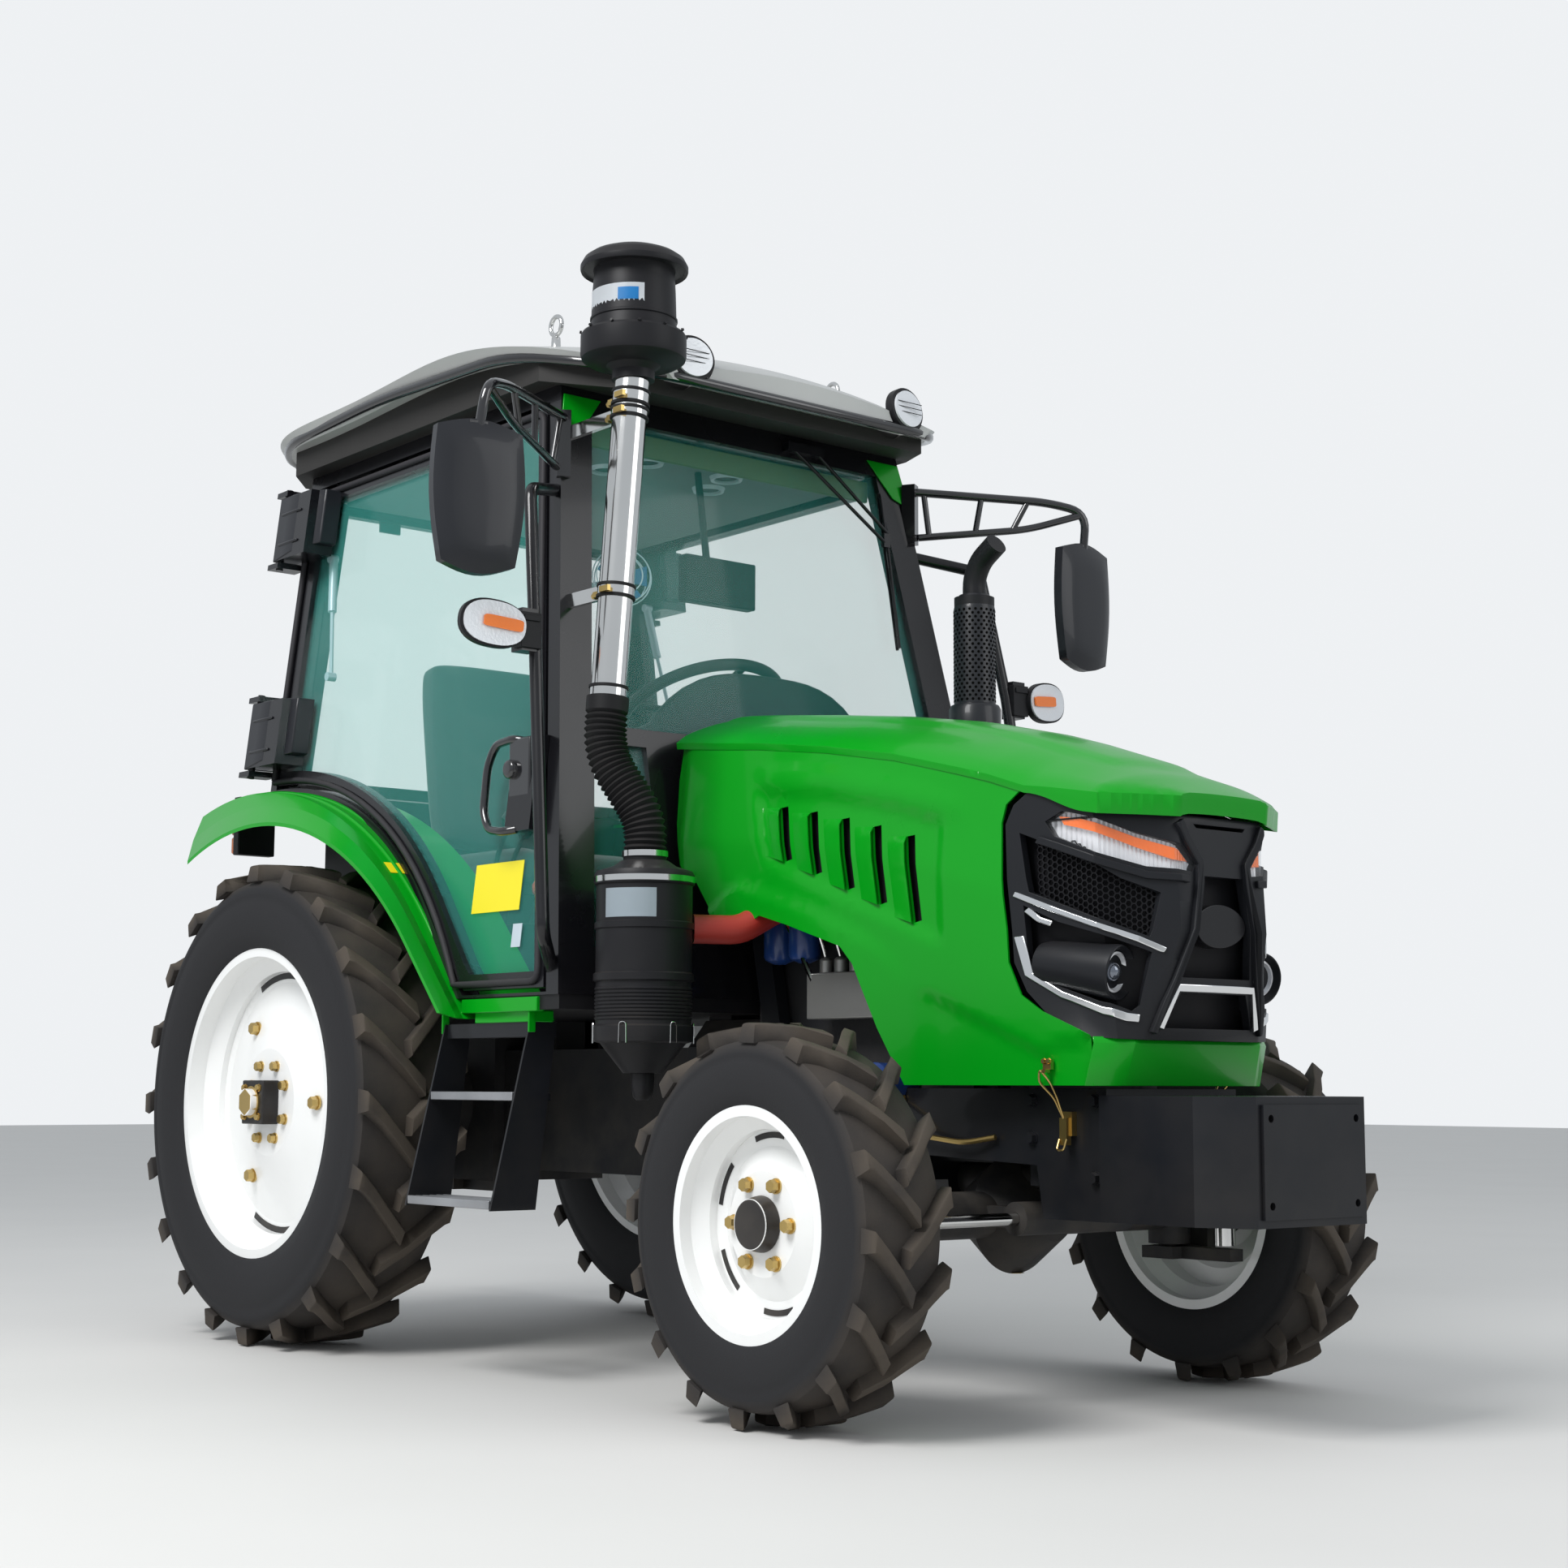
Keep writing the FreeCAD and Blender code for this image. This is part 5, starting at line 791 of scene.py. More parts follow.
# Fog lamps: black barrels turned a little inwards, each with a bright-rimmed projector lens
PROJECTOR = finish("dark_projector_lens", (0.16, 0.18, 0.22), 0.04, 0.6, 0, (60, 0.5), metal=0.7, coat=1)
BARREL = ((-0.02, 0), (-0.02, 0.036), (0, 0.042), (0.08, 0.047), (0.138, 0.051), (0.147, 0.051),
          (0.149, 0.048),
          (0.144, 0.044), (0.136, 0.04), (0.133, 0.037), (0.128, 0))
RIM = ((0.129, 0.037), (0.138, 0.0375), (0.139, 0.034), (0.131, 0.03), (0.1285, 0.016), (0.1285, 0))
LENS = ((0.129, 0.018), (0.137, 0.016), (0.143, 0.01), (0.145, 0))
for title, profile, steps, made, slot, crease, edge in (
        ("barrels", BARREL, 40, MASK_BLACK, "black_plastic", 40, 0.001),
        ("rims", RIM, 40, BRIGHT_TRAY, "lamps", 30, 0), ("lenses", LENS, 32, PROJECTOR, "lamps", 60, 0)):
    shape = bmesh.new()
    for side in (-1, 1):
        spun(shape, profile, (2.178, side * 0.226, 0.842), steps, (0.15, side * -0.032, -0.022))
    piece("fog_lamp_" + title, shape, made, "hood", crease=crease, edge=edge)

# Tubes: frames, pipes and hoses follow a path whose corners are rounded


def bent(points, reach, steps=6):
    """Rounds the corners of a path, as far from each corner as reach."""
    points = [Vector(point) for point in points]
    path = [points[0]]
    for before, corner, after in zip(points, points[1:], points[2:]):
        away = min(reach, (before - corner).length * 0.48, (after - corner).length * 0.48)
        first, last = [corner + (end - corner).normalized() * away for end in (before, after)]
        for number in range(steps + 1):
            share = number / steps
            path.append(first.lerp(corner, share).lerp(corner.lerp(last, share), share))
    return path + [points[-1]]


def tube(shape, points, radius, count, reach=0, steps=6):
    """A closed tube along a path, bent if it has a reach. radius is one number, or one for each place."""
    path = bent(points, reach, steps) if reach else [Vector(point) for point in points]
    rings, sideways = [], None
    for number, place in enumerate(path):
        ahead = (path[min(number + 1, len(path) - 1)] - path[max(number - 1, 0)]).normalized()
        sideways = ahead.orthogonal() if sideways is None else sideways
        sideways = (sideways - ahead * sideways.dot(ahead)).normalized()
        turn = Matrix((sideways, ahead.cross(sideways), ahead)).transposed().to_4x4()
        size = radius[number] if isinstance(radius, list) else radius
        ring = bmesh.ops.create_circle(shape, segments=count, radius=size,
                                       matrix=Matrix.Translation(place) @ turn)
        rings.append(list({edge for vert in ring["verts"] for edge in vert.link_edges}))
    for low, high in zip(rings, rings[1:]):
        bmesh.ops.bridge_loops(shape, edges=low + high)
    for ring in (rings[0], rings[-1]):
        bmesh.ops.contextual_create(shape, geom=ring)


def circle(degrees, radius=1, rise=0):
    """A place on a level circle about the origin, at an angle from the front."""
    return Vector((radius * math.cos(math.radians(degrees)), radius * math.sin(math.radians(degrees)), rise))


# Mirrors: black moulded heads, wider at the top and rounded all round, on arms of two tubes with rungs
GLOSS_BLACK = finish("gloss_black_tube", (0.008, 0.008, 0.01), 0.16, 0.2, 0.06, (400, 0.04), coat=0.9)
MIRROR_BLACK = finish("mirror_shell_plastic", (0.014, 0.015, 0.019), 0.34, 0.2, 0.06, (1300, 0.12),
                      coat=0.2, shine=0.3)
MIRROR_GLASS = finish("mirror_glass", (0.82, 0.84, 0.86), 0.03, 0.02, 0.03, (100, 0), metal=1)
MIRROR = (1.216, -0.885, 1.799)
TOED_IN = Matrix.Rotation(math.radians(-8), 3, "Z")


def mirror_outline(v, w, half_wide, half_high):
    """A place on the mirror's face: rounded corners, and narrower towards its foot."""
    pull = 1 - 0.13 * (1 - (max(abs(v), abs(w)) / math.hypot(v, w) if v or w else 1)) / 0.293
    return v * half_wide * (1 - 0.13 * (1 - w) / 2) * pull, w * half_high * pull


head, face, arms = bmesh.new(), bmesh.new(), bmesh.new()
bmesh.ops.create_cube(head, size=2)
bmesh.ops.subdivide_edges(head, edges=head.edges, cuts=9, use_grid_fill=True)
for vert in head.verts:
    u, v, w = vert.co
    crown = (1 - abs(v) ** 4) * (1 - abs(w) ** 4)
    deep = (0.01 + 0.014 * crown ** 0.5) * u if u > 0 else 0.022 * u * (0.6 + 0.4 * crown ** 0.3)
    vert.co = (deep, *mirror_outline(v, w, 0.108, 0.16))
bmesh.ops.create_grid(face, x_segments=10, y_segments=10, size=1)
for vert in face.verts:
    vert.co = (-0.0215, *mirror_outline(vert.co.x, vert.co.y, 0.092, 0.142))
bmesh.ops.solidify(face, geom=face.faces[:], thickness=0.002)
for shape in (head, face):
    bmesh.ops.transform(shape, matrix=Matrix.Translation(MIRROR) @ TOED_IN.to_4x4(), verts=shape.verts)
upper = [Vector(place) for place in ((0.985, -0.515, 2.078), (1.18, -0.8, 2.06), (1.236, -0.88, 2.036),
                                     (1.22, -0.886, 1.945))]
lower = [Vector(place) for place in ((0.988, -0.54, 1.965), (1.15, -0.76, 1.99), (1.226, -0.866, 2.028))]
tube(arms, upper, 0.0105, 14, 0.05)
tube(arms, lower, 0.009, 14, 0.05)
for share in (0.1, 0.52, 0.86):
    tube(arms, [upper[0].lerp(upper[1], share), lower[0].lerp(lower[1], share)], 0.0075, 10)
block(arms, (0.982, -0.518, 2.02), (0.034, 0.03, 0.15), Matrix.Rotation(math.radians(-30), 3, "Z"))
block(arms, (1.214, -0.89, 1.925), (0.028, 0.04, 0.06), TOED_IN)
doubled(head, arms, face)
piece("mirror_heads", head, MIRROR_BLACK, stands_for=["mirrors"], crease=60)
piece("mirror_arms", arms, GLOSS_BLACK, crease=40)
piece("mirror_faces", face, MIRROR_GLASS, crease=40)

# Turn lamps: an oval white lens and an orange bar in a black ring on a bracket. Roof lamps: oval too,
# ribbed and bright, each in a black ring in the roof's corner. Tail lamps: red over orange on a base.
WHITE_LENS = finish("white_ribbed_lens", (0.8, 0.82, 0.86), 0.12, 0.08, 0, (160, 0.9), metal=0.1, coat=1)
ORANGE = finish("orange_lens", (0.95, 0.2, 0.004), 0.25, 0.08, 0, (300, 0.3), coat=0.6)
LENS_RED = finish("red_tail_lens", (0.52, 0.008, 0.012), 0.16, 0.1, 0.04, (160, 0.5), coat=1)
TURN_LAMP, TURN_FACING, TURN_ACROSS = Vector((1.15, -0.806, 1.557)), (0.985, -0.17, 0), (0.17, 0.985, -0.1)
ROOF_LAMP, ROOF_FACING = Vector((1.17, -0.317, 2.206)), (0.96, -0.12, 0.1)


def oval(shape, centre, facing, across, half_wide, half_high, depth, power=2.0, crown=0.0):
    """A flat oval boss that faces one way: squarer with a higher power, and raised inside its edge."""
    facing, across = Vector(facing).normalized(), Vector(across)
    sideways = (across - facing * across.dot(facing)).normalized()
    turn = Matrix((sideways, facing.cross(sideways), facing)).transposed().to_4x4()
    part = bmesh.new()
    bmesh.ops.create_circle(part, segments=40, radius=1, cap_ends=True)
    bmesh.ops.inset_region(part, faces=part.faces, thickness=0.12, depth=0)
    for vert in part.verts:
        away = math.hypot(vert.co.x, vert.co.y)
        wide, high = vert.co.x / away, vert.co.y / away
        away *= (abs(wide) ** power + abs(high) ** power) ** (-1 / power)
        vert.co = (wide * half_wide * away, high * half_high * away, 0)
    for vert in verts_of(bmesh.ops.extrude_face_region(part, geom=part.faces[:])):
        inner = math.hypot(vert.co.x / half_wide, vert.co.y / half_high) < 0.93
        vert.co.z = depth + (crown if inner else 0)
    bmesh.ops.transform(part, matrix=Matrix.Translation(centre) @ turn, verts=part.verts)
    added(shape, part)


white, orange, black = bmesh.new(), bmesh.new(), bmesh.new()
for shape, off, half_wide, half_high, depth, power, crown in (
        (black, (0, 0, 0), 0.0735, 0.05, 0.016, 2.4, 0),
        (white, (0.014, 0, 0), 0.069, 0.0455, 0.006, 2.4, 0.002),
        (orange, (0.02456, 0.01573, 0.0002), 0.044, 0.0125, 0.004, 8, 0)):
    oval(shape, TURN_LAMP + Vector(off), TURN_FACING, TURN_ACROSS, half_wide, half_high, depth, power, crown)
block(black, (1.152, -0.716, 1.553), (0.03, 0.05, 0.075))
block(black, (1.168, -0.716, 1.578), (0.006, 0.04, 0.012))
oval(black, ROOF_LAMP, ROOF_FACING, (0, 1, 0), 0.0555, 0.0525, 0.022)
oval(white, ROOF_LAMP + Vector((0.019, -0.002, 0.002)), ROOF_FACING, (0, 1, 0), 0.047, 0.044, 0.008,
     crown=0.003)
for rise in (-0.008, 0.004, 0.016):
    block(black, ROOF_LAMP + Vector((0.0305, -0.002, rise)), (0.0022, 0.076, 0.002))
doubled(white, orange, black)
piece("cab_lamp_lenses", white, WHITE_LENS, stands_for=["cab_lamps"])
piece("turn_lamp_bars", orange, ORANGE)
piece("cab_lamp_rings", black, PLASTIC, edge=0.002)
for title, made, slot, centre, size, edge, segments in (
        ("red", LENS_RED, "lamps", (-0.392, -0.548, 1.299), (0.022, 0.096, 0.094), 0.006, 3),
        ("orange", ORANGE, "lamps", (-0.392, -0.548, 1.226), (0.022, 0.096, 0.044), 0.006, 3),
        ("bases", PLASTIC, "black_plastic", (-0.368, -0.548, 1.275), (0.03, 0.104, 0.15), 0.003, 2)):
    shape = bmesh.new()
    block(shape, centre, size)
    doubled(shape)
    piece("tail_lamp_" + title, shape, made, edge=edge, segments=segments)

# Air intake: clamps with gold bolts on the polished pipe, a bellows hose, a ribbed air cleaner with its
# label and clips, and a precleaner under a mushroom cap
PIPE_FOOT, PIPE_HEAD = Vector((1.25, -0.58, 1.405)), Vector((1.25, -0.527, 2.1))
PIPE_WAY = (PIPE_HEAD - PIPE_FOOT).normalized()
clamps, bands, bolts = bmesh.new(), bmesh.new(), bmesh.new()
for height, half in ((2.062, 0.01), (2.028, 0.005), (1.64, 0.008), (1.424, 0.008)):
    centre = PIPE_FOOT + PIPE_WAY * ((height - PIPE_FOOT.z) / PIPE_WAY.z)
    spun(clamps, ((-half, 0.0372), (-half, 0.0395), (half, 0.0395), (half, 0.0372)), centre, 48, PIPE_WAY)
    for middle in (-half - 0.004, half + 0.004):
        spun(bands, ((middle - 0.0035, 0.037), (middle - 0.0028, 0.0415), (middle + 0.0028, 0.0415),
                     (middle + 0.0035, 0.037)), centre, 40, PIPE_WAY)
    if height != 1.424:
        block(bolts, centre + Vector((0.02, -0.043, 0)), (0.03, 0.008, 0.012))
        block(bolts, centre + Vector((-0.046, -0.01, 0)), (0.018, 0.022, 0.012))
        hex_bolt(bolts, centre + Vector((-0.056, -0.01, 0)), (-1, 0, 0), 0.013, 0.01)
piece("pipe_clamps", clamps, STEEL, crease=30)
piece("pipe_clamp_rubbers", bands, HOSE, crease=50)
piece("pipe_clamp_bolts", bolts, GOLD_BOLT, crease=20)

# The bellows hose has rings at even distances along a bent path, every other one wider
RINGS = 60
CLEANER = Vector((1.32, -0.531, 0))
path = bent((CLEANER + Vector((0, 0, 1.068)), CLEANER + Vector((0, 0, 1.16)), PIPE_FOOT - PIPE_WAY * 0.11,
             PIPE_FOOT + PIPE_WAY * 0.01), 0.085, 14)
lengths = [0]
for before, after in zip(path, path[1:]):
    lengths.append(lengths[-1] + (after - before).length)
even = []
for number in range(RINGS + 1):
    goal = lengths[-1] * number / RINGS
    leg = min(max(place for place in range(len(lengths)) if lengths[place] <= goal + 1e-9), len(lengths) - 2)
    even.append(path[leg].lerp(path[leg + 1], (goal - lengths[leg]) / (lengths[leg + 1] - lengths[leg])))
sizes = [0.0445] * 4 + [0.0385 + 0.0065 * (number % 2) for number in range(4, RINGS - 5)] + [0.0445] * 6
shape = bmesh.new()
tube(shape, even, sizes, 28)
piece("intake_bellows", shape, HOSE, stands_for=["intake_hose"], crease=30)

# The air cleaner is a can with a rounded foot, nine ribs and a lid, with wire clips and two bands
profile = [(0.64, 0), (0.64, 0.04), (0.7, 0.088), (0.703, 0.1005), (0.716, 0.103), (0.734, 0.103),
           (0.738, 0.098)]
for number in range(9):
    rise = 0.746 + number * 0.0075
    profile += [(rise, 0.0975), (rise + 0.0025, 0.1), (rise + 0.005, 0.1), (rise + 0.0072, 0.0975)]
profile += [(0.824, 0.0975), (0.826, 0.103), (0.84, 0.103), (0.843, 0.0985), (0.93, 0.0985), (0.932, 0.1015),
            (0.944, 0.1015), (0.946, 0.0985), (1.02, 0.0985), (1.023, 0.103), (1.042, 0.103), (1.05, 0.0985),
            (1.06, 0.066), (1.072, 0.049), (1.072, 0)]
shape = bmesh.new()
spun(shape, profile, CLEANER, 64)
spun(shape, ((0.585, 0), (0.585, 0.012), (0.592, 0.019), (0.606, 0.022), (0.618, 0.0235), (0.64, 0.024),
             (0.64, 0)),
     CLEANER, 32)
block(shape, (1.195, -0.481, 0.804), (0.16, 0.08, 0.008))
block(shape, (1.129, -0.481, 0.789), (0.008, 0.08, 0.038))
piece("air_cleaner_body", shape, PLASTIC, stands_for=["air_cleaner"], edge=0.0008,
      segments=1, angle=60)
wires = bmesh.new()
for degrees in range(-120, 181, 60):
    base, sideways = CLEANER + circle(degrees, 0.1025), circle(degrees + 90, 0.008)
    tube(wires, [base + sideways * share + Vector((0, 0, rise)) for share, rise in (
        (-1, 0.7), (-0.9, 0.742), (0.9, 0.742), (1, 0.7))], 0.0012, 6, 0.01, 3)
for low, inner, outer, steps in ((1.026, 0.1028, 0.1045, 64), (1.08, 0.0455, 0.0475, 48)):
    spun(wires, ((low, inner), (low, outer), (low + 0.012, outer), (low + 0.012, inner)), CLEANER, steps)
piece("air_cleaner_clips", wires, STEEL, crease=40)

# The precleaner has a ring of small bolts, and both drums have blank labels
LABEL = finish("silver_blue_label", (0.55, 0.64, 0.7), 0.4, 0.15, 0.1, (200, 0.05), metal=0.2, coat=0.3)
WHITE_LABEL = finish("white_label", (0.8, 0.84, 0.88), 0.4, 0.05, 0.05, (200, 0.02), coat=0.3)
BLUE_LABEL = finish("blue_label", (0.02, 0.3, 0.72), 0.4, 0.3, 0.05, (200, 0.02), coat=0.3)
YELLOW = finish("yellow_label", (0.85, 0.72, 0.005), 0.4, 0.04, 0.03, (200, 0.02), coat=0.3)
PRECLEANER = Vector((1.25, -0.524, 0))
shape = bmesh.new()
spun(shape, ((2.103, 0), (2.103, 0.0455), (2.122, 0.0455), (2.134, 0.058), (2.141, 0.1), (2.148, 0.1105),
             (2.156, 0.113), (2.198, 0.113), (2.203, 0.11), (2.206, 0.093), (2.23, 0.091), (2.232, 0.0935),
             (2.236, 0.0935), (2.238, 0.091), (2.296, 0.089), (2.318, 0.0875), (2.336, 0.086), (2.343, 0.088),
             (2.345, 0.108), (2.34, 0.114), (2.344, 0.1155), (2.352, 0.1155), (2.366, 0.108), (2.376, 0.094),
             (2.384, 0.074), (2.386, 0.06), (2.392, 0.05), (2.3955, 0)), PRECLEANER, 72)
for degrees in range(0, 360, 30):
    hex_bolt(shape, PRECLEANER + circle(degrees, 0.111, 2.203), circle(degrees, 1, 0.2), 0.006, 0.004)
piece("precleaner_body", shape, PLASTIC, stands_for=["precleaner"], crease=28)


def wrapped(name, made, centre, radius, start, end, low, high):
    """A label wrapped round a drum between two angles from the front and two heights."""
    part = bmesh.new()
    bmesh.ops.create_grid(part, x_segments=14, y_segments=1, size=1)
    for vert in part.verts:
        along, up = (vert.co.x + 1) / 2, (vert.co.y + 1) / 2
        vert.co = centre + circle(start + (end - start) * along, radius, low + (high - low) * up)
    bmesh.ops.solidify(part, geom=part.faces[:], thickness=-0.0006)
    piece(name, part, made, crease=40)


wrapped("air_cleaner_label", LABEL, CLEANER, 0.0992, -88, -22, 0.952, 1.01)
wrapped("precleaner_label", WHITE_LABEL, PRECLEANER, 0.0905, -118, -22, 2.244, 2.29)
wrapped("precleaner_label_blue", BLUE_LABEL, PRECLEANER, 0.0912, -58, -30, 2.254, 2.28)

# Cab front: green corner tabs, a wiper on two arms, and behind the glass an olive header, the headliner
# with two round vents a side, a dark box on a stalk, a small fan and the cowl of the dashboard
TEAL_LINER = finish("grey_headliner", (0.1, 0.125, 0.13), 0.8, 0.15, 0.02, (900, 0.3), sheen=0.2)
OLIVE = finish("olive_primer", (0.09, 0.15, 0.045), 0.5, 0.1, 0.05, (500, 0.1))
FAN_BLUE = finish("blue_fan_blade", (0.01, 0.14, 0.36), 0.3, 0.05, 0.02, (500, 0.02), coat=0.3)


def front_pane(y, z, off):
    """A place in front of the windscreen, off its plane."""
    return Vector((1.053 - 0.187 * (z - 1.6) + off, y, z))


shape = flat_panel(((0.4, 2.146), (0.5, 2.146), (0.511, 2.09), (0.497, 2.046), (0.47, 2.056), (0.436, 2.098)))
thick(shape, 0.004, lambda y, z, depth: front_pane(-y, z, 0.001 + depth))
doubled(shape)
piece("windscreen_tabs", shape, GREEN, crease=30, edge=0.001)
shape = bmesh.new()
for radius, count, *places in (
        (0.0045, 10, (0.15, 2.128, 0.016), (0.405, 1.93, 0.022)),
        (0.0045, 10, (0.225, 2.128, 0.016), (0.418, 1.955, 0.022)),
        (0.0042, 10, (0.42, 2.058, 0.012), (0.418, 1.93, 0.018), (0.417, 1.664, 0.012)),
        (0.004, 8, (0.42, 2.062, 0.0045), (0.417, 1.66, 0.0045))):
    tube(shape, [front_pane(*place) for place in places], radius, count)
block(shape, front_pane(0.412, 1.935, 0.02), (0.012, 0.02, 0.034))
block(shape, front_pane(0.187, 2.132, 0.008), (0.03, 0.11, 0.022))
piece("wiper", shape, CAB_BLACK)
shape = bmesh.new()
block(shape, (0.385, 0, 2.103), (1.02, 0.88, 0.014))
piece("headliner", shape, TEAL_LINER, edge=0.004)
shape = bmesh.new()
block(shape, (0.918, 0, 2.074), (0.012, 0.86, 0.052))
piece("windscreen_header", shape, OLIVE, edge=0.003)
rings, dark = bmesh.new(), bmesh.new()
for x, y in ((0.633, 0.156), (0.751, 0.12), (0.633, -0.156), (0.751, -0.12)):
    spun(rings, ((0, 0.03), (-0.008, 0.031), (-0.01, 0.038), (0, 0.042)), (x, y, 2.096), 32)
    spun(dark, ((0, 0), (-0.003, 0), (-0.004, 0.029), (0, 0.03)), (x, y, 2.096), 24)
block(dark, (0.75, 0.095, 1.828), (0.034, 0.215, 0.115))
tube(dark, [(0.752, 0.06, 1.88), (0.74, 0.04, 2.098)], 0.009, 12)
piece("headliner_vents", rings, LABEL)
piece("interior_dark_fittings", dark, PLASTIC, edge=0.012, segments=3)

FAN, FAN_WAY = Vector((0.955, -0.335, 1.752)), Vector((0.72, -0.3, 0.05)).normalized()
cage, blades = bmesh.new(), bmesh.new()
CAGE = ((0.018, 0.02), (0.02, 0.042), (0.012, 0.062), (-0.004, 0.068), (-0.02, 0.06), (-0.024, 0.034))
for along, radius in CAGE:
    out = FAN_WAY.orthogonal().normalized() * radius
    tube(cage, [FAN + FAN_WAY * along + Matrix.Rotation(math.tau * number / 28, 3, FAN_WAY) @ out
                for number in range(29)], 0.0016, 6)
spun(cage, ((-0.055, 0), (-0.055, 0.02), (-0.03, 0.026), (-0.018, 0.026), (-0.018, 0)), FAN, 20, FAN_WAY)
foot = FAN - FAN_WAY * 0.04
tube(cage, [foot, foot + Vector((-0.02, -0.075, -0.02))], 0.008, 10)
for number in range(5):
    blade = bmesh.new()
    bmesh.ops.create_grid(blade, x_segments=4, y_segments=2, size=1)
    for vert in blade.verts:
        share, wide = (vert.co.x + 1) / 2, vert.co.y
        vert.co = (0.012 + 0.045 * share, wide * (0.01 + 0.012 * share), wide * 0.007)
    bmesh.ops.solidify(blade, geom=blade.faces[:], thickness=0.001)
    turned = turned_to(FAN, FAN_WAY) @ Matrix.Rotation(math.tau * number / 5, 4, "Z")
    bmesh.ops.transform(blade, matrix=turned, verts=blade.verts)
    added(blades, blade)
piece("fan_cage", cage, LABEL, crease=50)
piece("fan_blades", blades, FAN_BLUE, crease=40)

COWL_WIDTH = 0.62
cowl = flat_panel(((0.85, 1.4), (0.9, 1.452), (0.97, 1.47), (1.008, 1.5), (1.012, 1.546), (1.022, 1.556),
                   (1.036, 1.552), (1.048, 1.5), (1.052, 1.395)))
grown = verts_of(bmesh.ops.extrude_face_region(cowl, geom=cowl.faces[:]))
bmesh.ops.translate(cowl, verts=grown, vec=(0, COWL_WIDTH, 0))
for number in range(1, 16):
    bmesh.ops.bisect_plane(cowl, geom=all_of(cowl), dist=1e-5, plane_co=(0, COWL_WIDTH * number / 16, 0),
                           plane_no=(0, 1, 0))
for vert in cowl.verts:
    x, y, z = vert.co.x, vert.co.y - 0.28, vert.co.z
    share = min(abs(y - 0.03) / 0.312, 1)
    vert.co = (x - 0.02 * share ** 3, y, z - (z - 1.395) * 0.75 * share ** 3.2)
piece("dashboard_cowl", cowl, PLASTIC, crease=40, edge=0.006, segments=3)

# Seat: a sprung squab and a backrest, both with side bolsters and sewn channels
cushions = bmesh.new()
for centre, lengths, lean, channels in (((0.152, 0, 1.1465), (0.45, 0.464, 0.108), 0, (-0.35, 0.25)),
                                        ((-0.048, 0, 1.463), (0.104, 0.444, 0.5), -9, (-0.45, 0, 0.45))):
    pad = bmesh.new()
    bmesh.ops.create_cube(pad, size=2)
    bmesh.ops.subdivide_edges(pad, edges=pad.edges, cuts=17, use_grid_fill=True)
    level = lean == 0
    for vert in pad.verts:
        run, wide, deep = vert.co if level else (vert.co.z, vert.co.y, vert.co.x)
        crown = (1 - abs(run) ** 6) * (1 - abs(wide) ** 6)
        bolster = eased((abs(wide) - 0.62) / 0.12) * 0.1
        channel = sum(math.exp(-((run - place) / 0.035) ** 2) for place in channels) * (abs(wide) < 0.66)
        seam = math.exp(-((abs(wide) - 0.64) / 0.03) ** 2)
        front = 0.62 + 0.26 * crown ** 0.4 + bolster - 0.1 * channel - 0.13 * seam
        front = deep * (front if deep > 0 else 0.8 + 0.16 * crown ** 0.5)
        pulled = (1 - 0.05 * abs(deep) ** 4) * (1 - 0.05 * (abs(run) * abs(wide)) ** 4) * 0.985
        run, wide = run * pulled, wide * pulled
        placed = Vector((run, wide, front) if level else (front, wide, run))
        vert.co = placed * Vector(lengths) / 2
    turned = Matrix.Translation(centre) @ Matrix.Rotation(math.radians(lean), 4, "Y")
    bmesh.ops.transform(pad, matrix=turned, verts=pad.verts)
    added(cushions, pad)
seat_pad = piece("seat_cushions", cushions, SEAT_CLOTH, stands_for=["seat"], crease=180)
softer = seat_pad.modifiers.new("stuffed", "SUBSURF")
softer.levels = softer.render_levels = 1

# Levers beside the seat: bent rods with black knobs, one of them red
KNOB = ((-0.016, 0), (-0.016, 0.009), (-0.006, 0.0175), (0.01, 0.0215), (0.024, 0.017), (0.03, 0.008),
        (0.031, 0))
rods, knobs, red_knob = bmesh.new(), bmesh.new(), bmesh.new()
for x, y, lean, high, ball in ((0.42, -0.32, 0.05, 1.235, knobs), (0.5, -0.335, 0.06, 1.205, knobs),
                               (0.62, -0.35, 0.03, 1.06, red_knob), (0.42, 0.32, 0.05, 1.2, knobs)):
    tip = (x + lean, y + 0.01, high)
    tube(rods, [(x, y, 0.84), (x, y, high - 0.1), tip], 0.006, 10, 0.05)
    spun(ball, KNOB, tip, 20, (0.3, 0.05, 0.95))
for side in (-1, 1):
    block(rods, (0.47, side * 0.33, 0.905), (0.34, 0.11, 0.16))
piece("lever_rods", rods, PLASTIC, edge=0.003)
piece("lever_knobs", knobs, GLOSS_BLACK, crease=50)
piece("lever_knob_red", red_knob, LENS_RED, crease=50)

# Doors: hinge covers with two grooves, a bail handle round its lock, a seal, a gas strut, and blank
# labels. A door's foot follows the arch over the rear wheel.
SEAL_RUBBER = finish("dark_grey_seal", (0.03, 0.029, 0.033), 0.6, 0.2, 0.1, (500, 0.1), shine=0.25)
ARCH_X, ARCH_Z = -0.15, 0.258
HANDLE = ((1.01, 1.345, 0.02), (0.985, 1.352, 0.04), (0.915, 1.346, 0.04), (0.896, 1.3, 0.042),
          (0.9, 1.2, 0.042), (0.925, 1.158, 0.04), (0.985, 1.15, 0.04), (1.01, 1.155, 0.02))
DOOR_EDGE = ((0.826, 0.829), (1.128, 0.829), (1.01, 1.46), (0.896, 2.113), (-0.165, 2.113), (-0.17, 1.372))


def arch(degrees, radius):
    """Where a line at a radius over the rear wheel is: along, and its height."""
    angle = math.radians(degrees)
    return ARCH_X + radius * math.cos(angle), ARCH_Z + radius * math.sin(angle)


